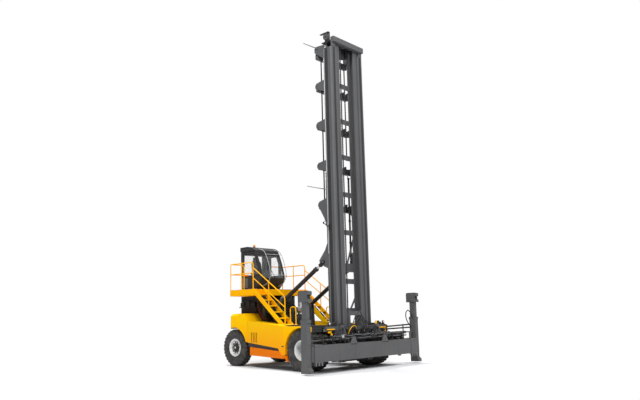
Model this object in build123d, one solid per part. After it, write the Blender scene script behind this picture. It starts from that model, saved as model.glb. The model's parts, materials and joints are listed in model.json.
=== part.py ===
from build123d import *
import os
from math import atan2, cos, degrees, hypot, pi, radians, sin, tan

# Driving sizes in millimetres. X runs forward from the drive axle, Y to the left, Z up from the ground.
WHEELBASE = 4320
TYRE_R = 690
TYRE_FLANK = 187
LUGS = 20
FACETS = 40
BORE_R = 305
REAR_TYRE_Y = 1127
TWIN_Y = 1667
TWIN_HALF = 215
KINGPIN_Y = 850
BODY_FRONT_X = -800
BODY_TOP_REAR = 1690
BODY_TOP_FRONT = 1490
CW_TOP = 1970
RAIL_TOP = 1250
DECK_Z = 2870
DECK_LOW = 2640
DECK_Y = 1420
STAIR_Y = (935, 1420)
RAIL_R = 20
CAB_Y = 650
CAB_HEIGHT = 1480
PIVOT = (480, 620)
TILT_BASE = (-2300, 2233)
TILT_EYE = (20, 3680)
TILT_Y = 840
MAST_TOP = 11600
LIFT_X = 185
LIFT_Y = 700
BARREL_TOP = 6900
BEAM_X = (900, 1300)
BEAM_Y = 2780
BEAM_Z = (380, 900)
POST_Y = (2850, 3030)

# Sizes that follow from them
AXLE_Z = TYRE_R
TREAD_BASE_R = TYRE_R - 26
FRONT_ARCH_R = TYRE_R + 58
REAR_ARCH_R = TYRE_R + 85
CW_LOW = AXLE_Z + TYRE_R + 12
STEER_X = -WHEELBASE
BODY_REAR_X = STEER_X + 840
CW_REAR_X = STEER_X - 800
DECK_X = (STEER_X - 130, STEER_X + 1230)
STAIR_FOOT_X = BODY_FRONT_X - 650
CAB_REAR_X = STEER_X - 380
CAB_FLOOR = DECK_Z + 50
CAB_HEAD = CAB_FLOOR + CAB_HEIGHT
CAB_TOP = CAB_HEAD + 220
INNER_TOP = MAST_TOP + 250
SHIFT_X = -(CW_REAR_X + BEAM_X[1] + 15) / 2

os.makedirs("parts", exist_ok=True)


def block(x0, x1, y0, y1, z0, z1):
    """Box between two corners."""
    return Pos((x0 + x1) / 2, (y0 + y1) / 2, (z0 + z1) / 2) * Box(x1 - x0, y1 - y0, z1 - z0)


def plate(outline, y0, y1):
    """Plate cut to an X-Z outline, between two Y planes."""
    face = Face(Wire.make_polygon([Vector(x, y0, z) for x, z in outline]))
    return extrude(face, amount=y1 - y0, dir=(0, 1, 0))


def slab(outline, z0, z1):
    """Slab cut to an X-Y outline, between two Z planes."""
    face = Face(Wire.make_polygon([Vector(x, y, z0) for x, y in outline]))
    return extrude(face, amount=z1 - z0, dir=(0, 0, 1))


def bar(p, q, r):
    """Round bar of radius r from point p to point q."""
    start = Vector(*p)
    run = Vector(*q) - start
    return Solid.make_cylinder(r, run.length, Plane(origin=start, z_dir=run))


def tube(p, q, r=RAIL_R, sides=8):
    """Eight-sided rail from point p to point q."""
    start = Vector(*p)
    run = Vector(*q) - start
    return extrude(Plane(origin=start, z_dir=run) * RegularPolygon(r, sides), amount=run.length)


def ring(profile, sides, y0=0, turn=0.0):
    """Closed (radius, y) profile carried round the Y axis in flat facets."""
    angles = [2 * pi * (k + turn) / sides for k in range(sides + 1)]
    faces = []
    for (ra, ya), (rb, yb) in zip(profile, profile[1:] + profile[:1]):
        for a, b in zip(angles, angles[1:]):
            corners = [(ra, ya, a), (rb, yb, a), (rb, yb, b), (ra, ya, b)]
            points = [Vector(r * cos(t), y0 + y, r * sin(t)) for r, y, t in corners]
            faces.append(Face(Wire.make_polygon(points)))
    return Solid(Shell(faces))


def band(path, half):
    """Closed outline that runs half to each side of a path."""
    left = []
    right = []
    for k, (x, z) in enumerate(path):
        xa, za = path[max(k - 1, 0)]
        xb, zb = path[min(k + 1, len(path) - 1)]
        share = half / hypot(xb - xa, zb - za)
        left.append((x - (zb - za) * share, z + (xb - xa) * share))
        right.append((x + (zb - za) * share, z - (xb - xa) * share))
    return left + right[::-1]


def mirrored(shape):
    """The same shape on the other side of the machine."""
    return mirror(shape, about=Plane.XZ)


def joined(shapes):
    """One body from overlapping shapes."""
    whole = shapes[0]
    for shape in shapes[1:]:
        whole = whole + shape
    return whole


def save(name, shapes):
    """Writes the solids of one piece."""
    solids = []
    for shape in shapes:
        solids.extend(shape.solids())
    export_step(Compound(children=[Pos(SHIFT_X, 0, 0) * s for s in solids]), f"parts/{name}.step")


def both(shape):
    """A shape and its mirror image."""
    return [shape, mirrored(shape)]


def body_top(x):
    """Height of the side body's sloping top at x."""
    share = (x - BODY_REAR_X) / (BODY_FRONT_X - BODY_REAR_X)
    return BODY_TOP_REAR + share * (BODY_TOP_FRONT - BODY_TOP_REAR)


# Wheels: faceted tyres with cross lugs, dished rims
def tyre(y0):
    """One lugged tyre about the Y axis, its tread out to the tyre radius."""
    bore = BORE_R / cos(pi / FACETS)
    flank = [(bore, 150), (345, 150), (TYRE_R - 190, TYRE_FLANK), (TYRE_R - 54, 170), (TREAD_BASE_R, 118)]
    profile = [(r, -y) for r, y in flank] + [(r, y) for r, y in reversed(flank)]
    body = ring(profile, FACETS, y0)
    half = 0.27 * 2 * pi / LUGS
    tip = TYRE_R / cos(half)
    root = TYRE_R - 60
    for k in range(LUGS):
        mid = -pi / 2 + 2 * pi * k / LUGS
        outline = []
        for r, t in ((root, -half), (tip, -half), (tip, half), (root, half)):
            outline.append((r * cos(mid + t), r * sin(mid + t)))
        body = body + plate(outline, y0 - 150, y0 + 150)
    return body


REAR_RIM = [(70.6, -20), (70.6, 110), (150, 110), (150, 85), (272, 85), (276, 165), (332, 165), (332, 150.4),
            (304.4, 150.4), (304.4, -150.4), (332, -150.4), (332, -165), (276, -165), (276, 60), (150, 60),
            (150, -20)]
TWIN_RIM = [(110.8, -60), (110.8, 60), (190, 60), (190, 20), (270, 20), (276, 380), (332, 380), (332, 365.4),
            (304.4, 365.4), (304.4, -365.4), (332, -365.4), (332, -380), (276, -380), (270, -20), (190, -20),
            (190, -60)]
rear_tyre = Pos(STEER_X, REAR_TYRE_Y, AXLE_Z) * tyre(0)
rear_rim = ring(REAR_RIM, 32) + bar((0, 110, 0), (0, 150, 0), 130)
rear_rim = Pos(STEER_X, REAR_TYRE_Y, AXLE_Z) * rear_rim
twin_tyres = [Pos(0, TWIN_Y + s * TWIN_HALF, AXLE_Z) * tyre(0) for s in (-1, 1)]
twin_rim = ring(TWIN_RIM, 32) + bar((0, 60, 0), (0, 150, 0), 170)
twin_rim = Pos(0, TWIN_Y, AXLE_Z) * twin_rim
save("tyre_rear_left", [rear_tyre])
save("tyre_rear_right", [mirrored(rear_tyre)])
save("rim_rear_left", [rear_rim])
save("rim_rear_right", [mirrored(rear_rim)])
save("tyres_front_left", twin_tyres)
save("tyres_front_right", [mirrored(t) for t in twin_tyres])
save("rim_front_left", [twin_rim])
save("rim_front_right", [mirrored(twin_rim)])

# Steering: axle beam, kingpin bosses, knuckles that swing on the kingpins
steer = block(STEER_X - 130, STEER_X + 130, -640, 640, AXLE_Z - 130, AXLE_Z + 130)
for side in (-1, 1):
    y = side * KINGPIN_Y
    neck = block(STEER_X - 90, STEER_X + 90, min(0, y), max(0, y), AXLE_Z - 105, AXLE_Z + 105)
    steer = steer + neck + bar((STEER_X, y, AXLE_Z - 110), (STEER_X, y, AXLE_Z + 110), 95)
    steer = steer - bar((STEER_X, y, AXLE_Z - 200), (STEER_X, y, AXLE_Z + 200), 45.3)
save("steer_axle", [steer])
knuckle = bar((STEER_X, KINGPIN_Y, AXLE_Z - 165), (STEER_X, KINGPIN_Y, AXLE_Z + 165), 45)
for low, high in ((AXLE_Z - 165, AXLE_Z - 116), (AXLE_Z + 116, AXLE_Z + 165)):
    knuckle = knuckle + bar((STEER_X, KINGPIN_Y, low), (STEER_X, KINGPIN_Y, high), 80)
    knuckle = knuckle + block(STEER_X - 80, STEER_X + 80, KINGPIN_Y, KINGPIN_Y + 150, low, high)
knuckle = knuckle + block(STEER_X - 80, STEER_X + 80, KINGPIN_Y + 105, KINGPIN_Y + 150,
                          AXLE_Z - 165, AXLE_Z + 165)
knuckle = knuckle + bar((STEER_X, KINGPIN_Y + 110, AXLE_Z), (STEER_X, REAR_TYRE_Y + 100, AXLE_Z), 70)
save("knuckle_left", [knuckle])
save("knuckle_right", [mirrored(knuckle)])

# Drive axle: housing bowl, tubes, hub ends and spindles
axle = bar((0, -1010, AXLE_Z), (0, 1010, AXLE_Z), 170)
axle = axle + Pos(0, 0, AXLE_Z) * ring([(165, -330), (320, -180), (320, 180), (165, 330)], 24)
axle = axle + bar((0, -1720, AXLE_Z), (0, 1720, AXLE_Z), 110)
for side in (-1, 1):
    axle = axle + bar((0, side * 1000, AXLE_Z), (0, side * 1600, AXLE_Z), 225)
save("drive_axle", [axle])

# Chassis: rails, cross plates, rear neck, front arms, tilt towers, deck columns
FRAME_REAR_X = BODY_REAR_X + 60
frame = block(FRAME_REAR_X, -420, 700, 950, 550, RAIL_TOP)
arm = [(-560, 440), (300, 440), (420, 500), (620, 500), (620, 760), (400, 900), (330, 1400), (-560, 1400)]
frame = frame + plate(arm, 880, 980)
frame = frame - bar((0, 850, AXLE_Z), (0, 1100, AXLE_Z), 170.3)
frame = frame - bar((PIVOT[0], 850, PIVOT[1]), (PIVOT[0], 1100, PIVOT[1]), 50.3)
tower = [(-250, RAIL_TOP), (180, RAIL_TOP), (110, TILT_BASE[1] + 10), (65, TILT_BASE[1] + 85),
         (-65, TILT_BASE[1] + 85), (-130, TILT_BASE[1] + 10)]
tower = [(TILT_BASE[0] + x, z) for x, z in tower]
for y0, y1 in ((TILT_Y - 85, TILT_Y - 50), (TILT_Y + 50, TILT_Y + 85)):
    frame = frame + plate(tower, y0, y1)
frame = frame + bar((TILT_BASE[0], TILT_Y - 70, TILT_BASE[1]), (TILT_BASE[0], TILT_Y + 70, TILT_BASE[1]), 40)
frame = frame + block(DECK_X[1] - 140, DECK_X[1] - 40, 720, 820, RAIL_TOP - 10, DECK_LOW)
frame = frame + mirrored(frame)
frame = frame + block(-560, -420, -960, 960, 550, RAIL_TOP)
frame = frame + block(FRAME_REAR_X, FRAME_REAR_X + 140, -950, 950, 550, RAIL_TOP)
frame = frame + block(STEER_X - 280, FRAME_REAR_X + 20, -330, 330, AXLE_Z + 130, CW_LOW)
save("chassis_frame", [frame])

# Counterweight over the steer axle: rounded corners, sloping front, wheel arches, arch lips, lamp pockets
CW_FRONT_X = BODY_REAR_X - 20
corners = [(CW_REAR_X, -620), (CW_REAR_X + 560, -1320), (CW_FRONT_X, -1385)]
weight = slab(corners + [(x, -y) for x, y in reversed(corners)], CW_LOW, CW_TOP)
weight = fillet(weight.edges().filter_by(Axis.Z).sort_by(Axis.X)[:4], 240)
weight = chamfer(weight.faces().sort_by(Axis.Z)[-1].edges(), 90)
slope = [(CW_FRONT_X + 1, BODY_TOP_REAR), (CW_FRONT_X + 1, CW_TOP + 20), (CW_FRONT_X - 250, CW_TOP + 20)]
weight = weight - plate(slope, -1500, 1500)
weight = weight + block(STEER_X - 680, STEER_X - 280, -330, 330, 560, CW_LOW + 10)
lip = plate([(STEER_X + 120, CW_LOW + 20), (STEER_X + 120, 1200), (CW_FRONT_X, 900),
             (CW_FRONT_X, CW_LOW + 20)], 1315, 1380)
weight = weight + lip + mirrored(lip)
for side in (-1, 1):
    y0, y1 = sorted((side * 345, side * 1500))
    weight = weight - bar((STEER_X, y0, AXLE_Z), (STEER_X, y1, AXLE_Z), REAR_ARCH_R)
    y0, y1 = sorted((side * 300, side * 500))
    weight = weight - block(CW_REAR_X - 5, CW_REAR_X + 60, y0, y1, 1500, 1620)
save("counterweight", [weight])
tail_lamp = block(CW_REAR_X + 12, CW_REAR_X + 59.7, 300.3, 499.7, 1500.3, 1619.7)


# Side bodies, sills, skirts, front fenders and mudflaps
def flank(inset, outline):
    """Side panel: the flared plan inset from the outside, cut to an X-Z outline."""
    inner = 950.3
    plan = [(BODY_REAR_X, inner), (BODY_FRONT_X, inner), (BODY_FRONT_X, 2045 - inset),
            (BODY_FRONT_X - 100, 2030 - inset), (BODY_REAR_X, 1390 - inset)]
    return slab(plan, 300, 1800) & plate(outline, 900, 2200)


STEP_X = BODY_FRONT_X - 430
NOTCH_X = BODY_FRONT_X - 210
body = flank(0, [(BODY_REAR_X, 900), (BODY_REAR_X, BODY_TOP_REAR), (BODY_FRONT_X, BODY_TOP_FRONT),
                 (BODY_FRONT_X, 520), (NOTCH_X, 520), (STEP_X, 740)])
core = flank(22, [(BODY_REAR_X + 180, 850), (BODY_REAR_X + 180, 1400), (BODY_REAR_X + 980, 1400),
                  (BODY_REAR_X + 980, 850)])
for k in range(4):
    x = BODY_REAR_X + 300 + 130 * k
    body = body - (block(x, x + 70, 1300, 1700, 900, 1270) - core)
save("side_bodies", both(body))
save("sills", both(flank(45, [(BODY_REAR_X + 30, 750), (BODY_REAR_X + 30, 897), (STEP_X - 1, 739.5),
                              (STEP_X + 98, 640)])))
skirt = flank(12, [(BODY_REAR_X + 200, 430), (BODY_REAR_X + 200, 735), (STEP_X + 100, 639.7),
                   (NOTCH_X, 519.7), (BODY_FRONT_X - 50, 519.7), (BODY_FRONT_X - 50, 400)])
flap = [(1, 519.7), (48, 519.7), (160, 310), (132, 310), (1, 470)]
flap = plate([(BODY_FRONT_X + x, z) for x, z in flap], 1290, 2065)
save("skirts", both(skirt) + both(flap))
WING_X = BODY_FRONT_X + 0.3
WING_TOP = BODY_TOP_FRONT - 6
fender = plate([(WING_X, 520), (WING_X, BODY_TOP_FRONT), (WING_X + 150, WING_TOP), (300, WING_TOP),
                (450, WING_TOP - 40), (450, 1150)], 980.3, 2080)
fender = fender - bar((0, 900, AXLE_Z), (0, 2200, AXLE_Z), FRONT_ARCH_R)
save("front_fenders", both(fender))
head_lamp = block(450.3, 510, 1320, 1500, 1275, 1405) - block(495, 520, 1335, 1485, 1290, 1390)
save("lamps", both(head_lamp) + both(tail_lamp))

# Engine, radiator, pedestal under the cab, air cleaner and silencer
COOLER_X = (FRAME_REAR_X + 20.3, FRAME_REAR_X + 400)
ENGINE_X = COOLER_X[1] + 20
motor = block(ENGINE_X, ENGINE_X + 850, -430, 430, 1000, 1900)
motor = motor + block(ENGINE_X + 850, ENGINE_X + 1200, -260, 260, 900, 1400)
motor = motor + block(ENGINE_X + 300, ENGINE_X + 400, -699.7, 699.7, 900, 1000)
motor = motor + block(ENGINE_X + 50, ENGINE_X + 560, -150, 150, 1890, 1990)
motor = motor + bar((ENGINE_X + 100, 425, 1500), (ENGINE_X + 420, 425, 1500), 90)
motor = motor + bar((ENGINE_X + 840, 0, 1620), (ENGINE_X + 930, 0, 1620), 190)
motor = motor + bar((ENGINE_X + 840, 250, 1750), (ENGINE_X + 920, 250, 1750), 80)
for x in range(4):
    motor = motor + bar((ENGINE_X + 120 + 180 * x, -420, 1700), (ENGINE_X + 120 + 180 * x, -520, 1700), 45)
motor = motor + bar((ENGINE_X + 40, -520, 1700), (ENGINE_X + 760, -520, 1700), 60)
save("engine", [motor])
cooler = block(*COOLER_X, -640, 640, RAIL_TOP + 0.3, DECK_LOW - 160)
for k in range(9):
    z = RAIL_TOP + 200 + 105 * k
    cooler = cooler - block(COOLER_X[1] - 25, COOLER_X[1] + 5, -570, 570, z, z + 60)
    cooler = cooler - block(COOLER_X[0] + 60, COOLER_X[1] - 60, -645, -620, z, z + 60)
    cooler = cooler - block(COOLER_X[0] + 60, COOLER_X[1] - 60, 620, 645, z, z + 60)
PEDESTAL_X = (STEER_X - 330, STEER_X + 570)
pedestal = block(*PEDESTAL_X, -680, 680, CW_TOP, DECK_LOW)
for k in range(5):
    z = CW_TOP + 130 + 95 * k
    for y0, y1 in ((-685, -655), (655, 685)):
        pedestal = pedestal - block(PEDESTAL_X[0] + 120, PEDESTAL_X[1] - 120, y0, y1, z, z + 45)
    pedestal = pedestal - block(PEDESTAL_X[0] - 5, PEDESTAL_X[0] + 25, -560, 560, z, z + 45)
save("engine_covers", [pedestal, cooler])
cleaner = bar((ENGINE_X + 380, -350, 2430), (ENGINE_X + 730, -350, 2430), 150)
cleaner = cleaner + bar((ENGINE_X + 370, -350, 2430), (ENGINE_X + 740, -350, 2430), 110)
cleaner = cleaner + block(ENGINE_X + 500, ENGINE_X + 580, -400, -300, 1900, 2400)
save("air_cleaner", [cleaner])
PIPE_X = ENGINE_X + 680
silencer = bar((PIPE_X, 80, 2060), (PIPE_X, 420, 2060), 110)
silencer = silencer + block(PIPE_X - 40, PIPE_X + 40, 200, 280, 1900, 2050)
silencer = silencer + bar((PIPE_X, 250, 2100), (PIPE_X, 250, 2560), 55)
save("silencer", [silencer])

# Deck, stairs and rails
deck = block(*DECK_X, -DECK_Y, DECK_Y, DECK_Z - 30, DECK_Z)
deck = deck + block(DECK_X[0], DECK_X[0] + 30, -DECK_Y, DECK_Y, DECK_LOW, DECK_Z)
deck = deck + block(DECK_X[1] - 30, DECK_X[1], -DECK_Y, DECK_Y, DECK_LOW, DECK_Z)
for y in (-DECK_Y, -650, -800, 620, 770, DECK_Y - 30):
    deck = deck + block(*DECK_X, y, y + 30, DECK_LOW, DECK_Z)
save("deck", [deck])

STAIR_HEAD_X = DECK_X[1] + 70
STAIR_RUN = STAIR_FOOT_X - STAIR_HEAD_X
PITCH = (DECK_Z - body_top(STAIR_FOOT_X)) / STAIR_RUN


def stair_top(x):
    """Height of the stringer's upper edge at x."""
    return DECK_Z - PITCH * (x - STAIR_HEAD_X)


HEEL_X = STAIR_FOOT_X - 262
stringer = [(DECK_X[1] + 0.3, DECK_Z - 150), (DECK_X[1] + 0.3, DECK_Z), (STAIR_HEAD_X, DECK_Z),
            (STAIR_FOOT_X, body_top(STAIR_FOOT_X) + 0.3), (HEEL_X, body_top(HEEL_X) + 0.3)]
stair = plate(stringer, STAIR_Y[0], STAIR_Y[0] + 30) + plate(stringer, STAIR_Y[1] - 30, STAIR_Y[1])
for k in range(1, 6):
    x = STAIR_HEAD_X + STAIR_RUN * (k - 0.75) / 5.4
    z = DECK_Z - (DECK_Z - body_top(STAIR_FOOT_X)) * k / 5.9
    stair = stair + block(x - 105, x + 125, STAIR_Y[0], STAIR_Y[1], z, z + 35)
save("stairs", both(stair))

RAIL_Y = DECK_Y - 15
HAND_Z = DECK_Z + 1010
KNEE_Z = DECK_Z + 610
POSTS_X = (DECK_X[0] + 20, (DECK_X[0] + DECK_X[1]) / 2, DECK_X[1] - 20)
rail = tube((DECK_X[0], RAIL_Y, HAND_Z), (DECK_X[1], RAIL_Y, HAND_Z))
rail = rail + tube((DECK_X[0], RAIL_Y, KNEE_Z), (DECK_X[1], RAIL_Y, KNEE_Z))
for x in POSTS_X:
    rail = rail + tube((x, RAIL_Y, DECK_Z + 0.2), (x, RAIL_Y, HAND_Z + 5), 23, 6)
for z in (HAND_Z, KNEE_Z):
    rail = rail + tube((POSTS_X[0], 690, z), (POSTS_X[0], RAIL_Y, z), 18)
rail = rail + tube((POSTS_X[0], 720, DECK_Z + 0.2), (POSTS_X[0], 720, HAND_Z + 5), 23, 6)
RAIL_END_X = STAIR_FOOT_X + 50
NEWEL_X = STAIR_FOOT_X + 40
MID_X = HEEL_X - 540
RAIL_DROP = DECK_Z - body_top(RAIL_END_X) - 180
FALL = RAIL_DROP / (RAIL_END_X - POSTS_X[2])
for z in (DECK_Z + 800, DECK_Z + 420):
    rail = rail + tube((POSTS_X[2], RAIL_Y, z), (RAIL_END_X, RAIL_Y, z - RAIL_DROP))
for x, low in ((NEWEL_X, body_top(NEWEL_X) + 20), (MID_X, stair_top(MID_X - 24) + 0.3)):
    rail = rail + tube((x, RAIL_Y, low), (x, RAIL_Y, DECK_Z + 800 - FALL * (x - POSTS_X[2])), 23, 6)
PAD_X = STAIR_FOOT_X + 10
rail = rail + block(PAD_X, PAD_X + 60, RAIL_Y - 30, RAIL_Y + 30, body_top(PAD_X) + 0.3, body_top(PAD_X) + 30)
GRAB_X = STAIR_FOOT_X + 160
grab = tube((GRAB_X, 975, body_top(GRAB_X) + 20), (GRAB_X, 975, 2180), 23, 6)
GRAB_Z = body_top(GRAB_X - 30)
grab = grab + block(GRAB_X - 30, GRAB_X + 30, 951, 1005, GRAB_Z + 0.3, GRAB_Z + 30)
LEG_X = GRAB_X - 280
grab = grab + tube((LEG_X - 25, 975, 2150), (GRAB_X + 25, 975, 2150), 18)
grab = grab + tube((LEG_X, 975, stair_top(LEG_X - 24) + 0.3), (LEG_X, 975, 2180), 23, 6)
save("handrails", both(rail) + both(grab))


# Cab: floor, walls with window openings, front panel, roof, panes, door, seat, console, guard tubes
def cab_z(share):
    """Height in the cab; 0 is the floor and 1480 the head."""
    return CAB_FLOOR + share * CAB_HEIGHT / 1480


def cab(points):
    """Cab outline from distances ahead of the rear wall and heights above the floor."""
    return [(CAB_REAR_X + x, cab_z(z)) for x, z in points]


NOSE_X = CAB_REAR_X + 870
HINGE = (CAB_REAR_X + 306, CAB_Y + 28)
SIDE = cab([(0, 0), (870, 0), (1070, 180), (1200, 410), (1170, 590), (1050, 1010), (910, 1350), (850, 1480),
            (0, 1480)])
WINDOW = cab([(160, 530), (1100, 530), (980, 980), (840, 1320), (810, 1400), (160, 1400)])
PANE = cab([(160.3, 530.3), (1099.5, 530.3), (979.5, 979.8), (839.5, 1319.8), (809.7, 1399.7),
            (160.3, 1399.7)])
DOOR = cab([(320, 30), (840, 30), (930, 130), (930, 1040), (820, 1310), (785, 1395), (320, 1395)])
DOORWAY = cab([(314, 24), (843, 24), (936, 127), (936, 1042), (826, 1312), (789, 1401), (314, 1401)])
DOOR_GLASS = cab([(390, 540), (860, 540), (860, 1025), (755, 1280), (740, 1325), (390, 1325)])
DOOR_PANE = cab([(390.4, 540.4), (859.6, 540.4), (859.6, 1024.6), (754.6, 1279.6), (739.6, 1324.6),
                 (390.4, 1324.6)])
QUARTER = cab([(1000, 540), (1110, 540), (1090, 640), (1000, 940)])
QUARTER_PANE = cab([(1000.3, 540.3), (1109.7, 540.3), (1089.6, 639.8), (1000.3, 939)])
save("cab_floor", [block(CAB_REAR_X, NOSE_X, -CAB_Y, CAB_Y, DECK_Z, CAB_FLOOR)])
right_wall = plate(SIDE, -CAB_Y, -CAB_Y + 50) - plate(WINDOW, -CAB_Y - 10, -CAB_Y + 60)
left_wall = plate(SIDE, CAB_Y - 50, CAB_Y) - plate(DOORWAY, CAB_Y - 60, CAB_Y + 10)
left_wall = left_wall - plate(QUARTER, CAB_Y - 60, CAB_Y + 10)
HINGES_Z = (cab_z(230), cab_z(1160))
for z in HINGES_Z:
    left_wall = left_wall + block(HINGE[0] - 56, HINGE[0] + 10, CAB_Y - 5, HINGE[1], z - 60, z - 26)
    left_wall = left_wall + bar((*HINGE, z - 60), (*HINGE, z - 26), 20)
    left_wall = left_wall + bar((*HINGE, z - 40), (*HINGE, z + 24), 10)
INSIDE_Y = CAB_Y - 50.3
rear_wall = block(CAB_REAR_X, CAB_REAR_X + 50, -INSIDE_Y, INSIDE_Y, CAB_FLOOR, CAB_HEAD)
rear_wall = rear_wall - block(CAB_REAR_X - 5, CAB_REAR_X + 60, -500, 500, cab_z(530), cab_z(1400))
save("cab_walls", [right_wall, left_wall, rear_wall])
NOSE = cab([(870, 0), (1070, 180), (1200, 410), (1140, 410), (1030, 215), (850, 52)])
nose = plate(NOSE, -INSIDE_Y, INSIDE_Y)
nose = nose - block(CAB_REAR_X + 1000, CAB_REAR_X + 1300, -560, 560, cab_z(200), cab_z(370))
header = plate(cab([(910, 1350), (850, 1480), (780, 1480), (850, 1350)]), -INSIDE_Y, INSIDE_Y)
save("cab_front", [nose, header])
ROOF = [(-30, 0), (870, 0), (830, 70), (740, 140), (600, 190), (400, 220), (-30, 210)]
roof = plate([(CAB_REAR_X + x, CAB_HEAD + z) for x, z in ROOF], -CAB_Y - 10, CAB_Y + 10)
roof = chamfer(roof.edges().filter_by(Axis.X).group_by(Axis.Z)[-1], 60)
save("cab_roof", [roof])
SCREEN = cab([(1199.5, 410.3), (1169.5, 590), (1049.5, 1009.5), (909.5, 1349.5), (898, 1349.5), (1038, 1006),
              (1159, 588), (1188, 410.3)])
screen = plate(SCREEN, -INSIDE_Y + 0.3, INSIDE_Y - 0.3)
lower_pane = plate(cab([(1075, 200.5), (1171, 369.5), (1160, 369.5), (1064, 200.5)]), -559.5, 559.5)
right_pane = plate(PANE, -CAB_Y + 20, -CAB_Y + 30)
rear_pane = block(CAB_REAR_X + 20, CAB_REAR_X + 30, -499.7, 499.7, cab_z(530.3), cab_z(1399.7))
quarter_pane = plate(QUARTER_PANE, CAB_Y - 30, CAB_Y - 20)
save("cab_glass", [screen, lower_pane, right_pane, rear_pane, quarter_pane])
door = plate(DOOR, CAB_Y - 45, CAB_Y - 5) - plate(DOOR_GLASS, CAB_Y - 60, CAB_Y)
for z in HINGES_Z:
    tab = block(HINGE[0] + 18, HINGE[0] + 64, CAB_Y - 6, HINGE[1] + 8, z - 25, z + 25)
    tab = tab + block(HINGE[0], HINGE[0] + 54, HINGE[1] - 10, HINGE[1] + 8, z - 25, z + 25)
    door = door + tab + bar((*HINGE, z - 25), (*HINGE, z + 25), 20)
    door = door - bar((*HINGE, z - 30), (*HINGE, z + 30), 10.3)
save("door_frame", [door])
save("door_glass", [plate(DOOR_PANE, CAB_Y - 30, CAB_Y - 20)])
seat = block(CAB_REAR_X + 220, CAB_REAR_X + 680, -260, 260, CAB_FLOOR, CAB_FLOOR + 210)
seat = seat + block(CAB_REAR_X + 200, CAB_REAR_X + 700, -270, 270, CAB_FLOOR + 210, CAB_FLOOR + 460)
back = [(200, 460), (340, 460), (260, 1180), (140, 1180)]
save("seat", [seat + plate([(CAB_REAR_X + x, CAB_FLOOR + z) for x, z in back], -250, 250)])
column = [(710, 0), (810, 0), (910, 500), (840, 640), (790, 620)]
save("console", [plate([(CAB_REAR_X + x, CAB_FLOOR + z) for x, z in column], -160, 160)])
beacon = bar((CAB_REAR_X + 450, -330, CAB_TOP), (CAB_REAR_X + 450, -330, CAB_TOP + 30), 60)
beacon = beacon + bar((CAB_REAR_X + 450, -330, CAB_TOP), (CAB_REAR_X + 450, -330, CAB_TOP + 120), 50)
save("beacon", [beacon])
bow = cab([(1008.7, 107.3), (1270, 200), (1405, 410), (1390, 640), (1260, 1070), (1060, 1480), (796.4, 1593.8)])
guard = [plate(band(bow, 14), y - 14, y + 14) for y in (-430, 430)]
save("cab_guard", guard)

# Mast, outer stage: channel uprights with horn plates, tilt ears and pivot pins
HORNS = [(150, 180, -100, -390), (-1210, -1270, -1510, -1660), (-2720, -2780, -3030, -3160),
         (-4250, -4310, -4550, -4650)]
HORNS = [[MAST_TOP + drop for drop in row] for row in HORNS]
upright = block(270, 690, 820, 860, 250, MAST_TOP)
upright = upright + block(645, 690, 600, 860, 250, MAST_TOP) + block(270, 315, 600, 860, 250, MAST_TOP)
for root_top, tip_top, tip_low, root_low in HORNS:
    horn = plate([(280, root_top), (-110, tip_top), (-180, tip_top - 70), (-180, tip_low + 60),
                  (-120, tip_low), (280, root_low)], 820, 860)
    upright = upright + horn
ear = [(280, 5960), (-110, 5860), (-180, 5780), (-180, 5700), (-60, 5520), (110, 5220), (215, 4900),
       (260, 4610), (215, 4330), (90, 4080), (-80, 3880), (-180, 3760), (-180, 3690),
       (40, 3520), (280, 3420)]
upright = upright + plate(ear, 820, 860)
upright = upright + bar((TILT_EYE[0], 760, TILT_EYE[1]), (TILT_EYE[0], 920, TILT_EYE[1]), 40)
upright = upright + bar((PIVOT[0], 830, PIVOT[1]), (PIVOT[0], 985, PIVOT[1]), 50)
upright = upright + block(100, 280, 625, 860, 930, 1000)
save("outer_uprights", both(upright))
members = []
for z in (MAST_TOP - 200, MAST_TOP - 1470, MAST_TOP - 2940, MAST_TOP - 4440, 5700):
    members.append(block(-160, -40, -819.7, 819.7, z - 110, z + 110))
for z0, z1 in ((3350, 3650), (1900, 2060), (1200, 1300)):
    members.append(block(150, 315, -599.7, 599.7, z0, z1))
save("outer_crossmembers", members)
barrel = bar((LIFT_X, LIFT_Y, 1000), (LIFT_X, LIFT_Y, BARREL_TOP), 74)
barrel = barrel - bar((LIFT_X, LIFT_Y, 1050), (LIFT_X, LIFT_Y, BARREL_TOP - 80), 41)
barrel = barrel - bar((LIFT_X, LIFT_Y, 6000), (LIFT_X, LIFT_Y, BARREL_TOP + 10), 38.3)
save("lift_barrels", both(barrel))

# Mast, inner stage: beam uprights, cross bars, head, lift rods, hose sheave
inner = block(325, 635, 520, 560, 520, INNER_TOP)
inner = inner + block(325, 365, 400, 780, 520, INNER_TOP) + block(595, 635, 400, 780, 520, INNER_TOP)
save("inner_uprights", both(inner))
bars = [block(325, 365, -399.7, 399.7, z - 90, z + 90) for z in
        (INNER_TOP - 1530, INNER_TOP - 2920, INNER_TOP - 4290, 6160, 4760, 3000, 1400)]
bars.append(block(635, 790, -860, 860, INNER_TOP - 100, INNER_TOP + 100))
bars.append(block(130, 634.7, -800, 800, INNER_TOP, INNER_TOP + 30))
save("inner_crossmembers", bars)
save("lift_rods", both(bar((LIFT_X, LIFT_Y, 1100), (LIFT_X, LIFT_Y, INNER_TOP), 38)))
HOSE_Z = INNER_TOP + 160
sheave = bar((450, -900, HOSE_Z), (450, -845, HOSE_Z), 130)
hanger = block(330, 570, -835, -801, INNER_TOP + 10, HOSE_Z + 150)
hanger = hanger + block(140, 570, -905, -801, HOSE_Z + 150, HOSE_Z + 170)
hanger = hanger + bar((450, -910, HOSE_Z), (450, -810, HOSE_Z), 25)
save("hose_sheave", [joined([sheave, hanger]) + block(400, 500, -820, -780, INNER_TOP + 30, INNER_TOP + 80)])

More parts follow.
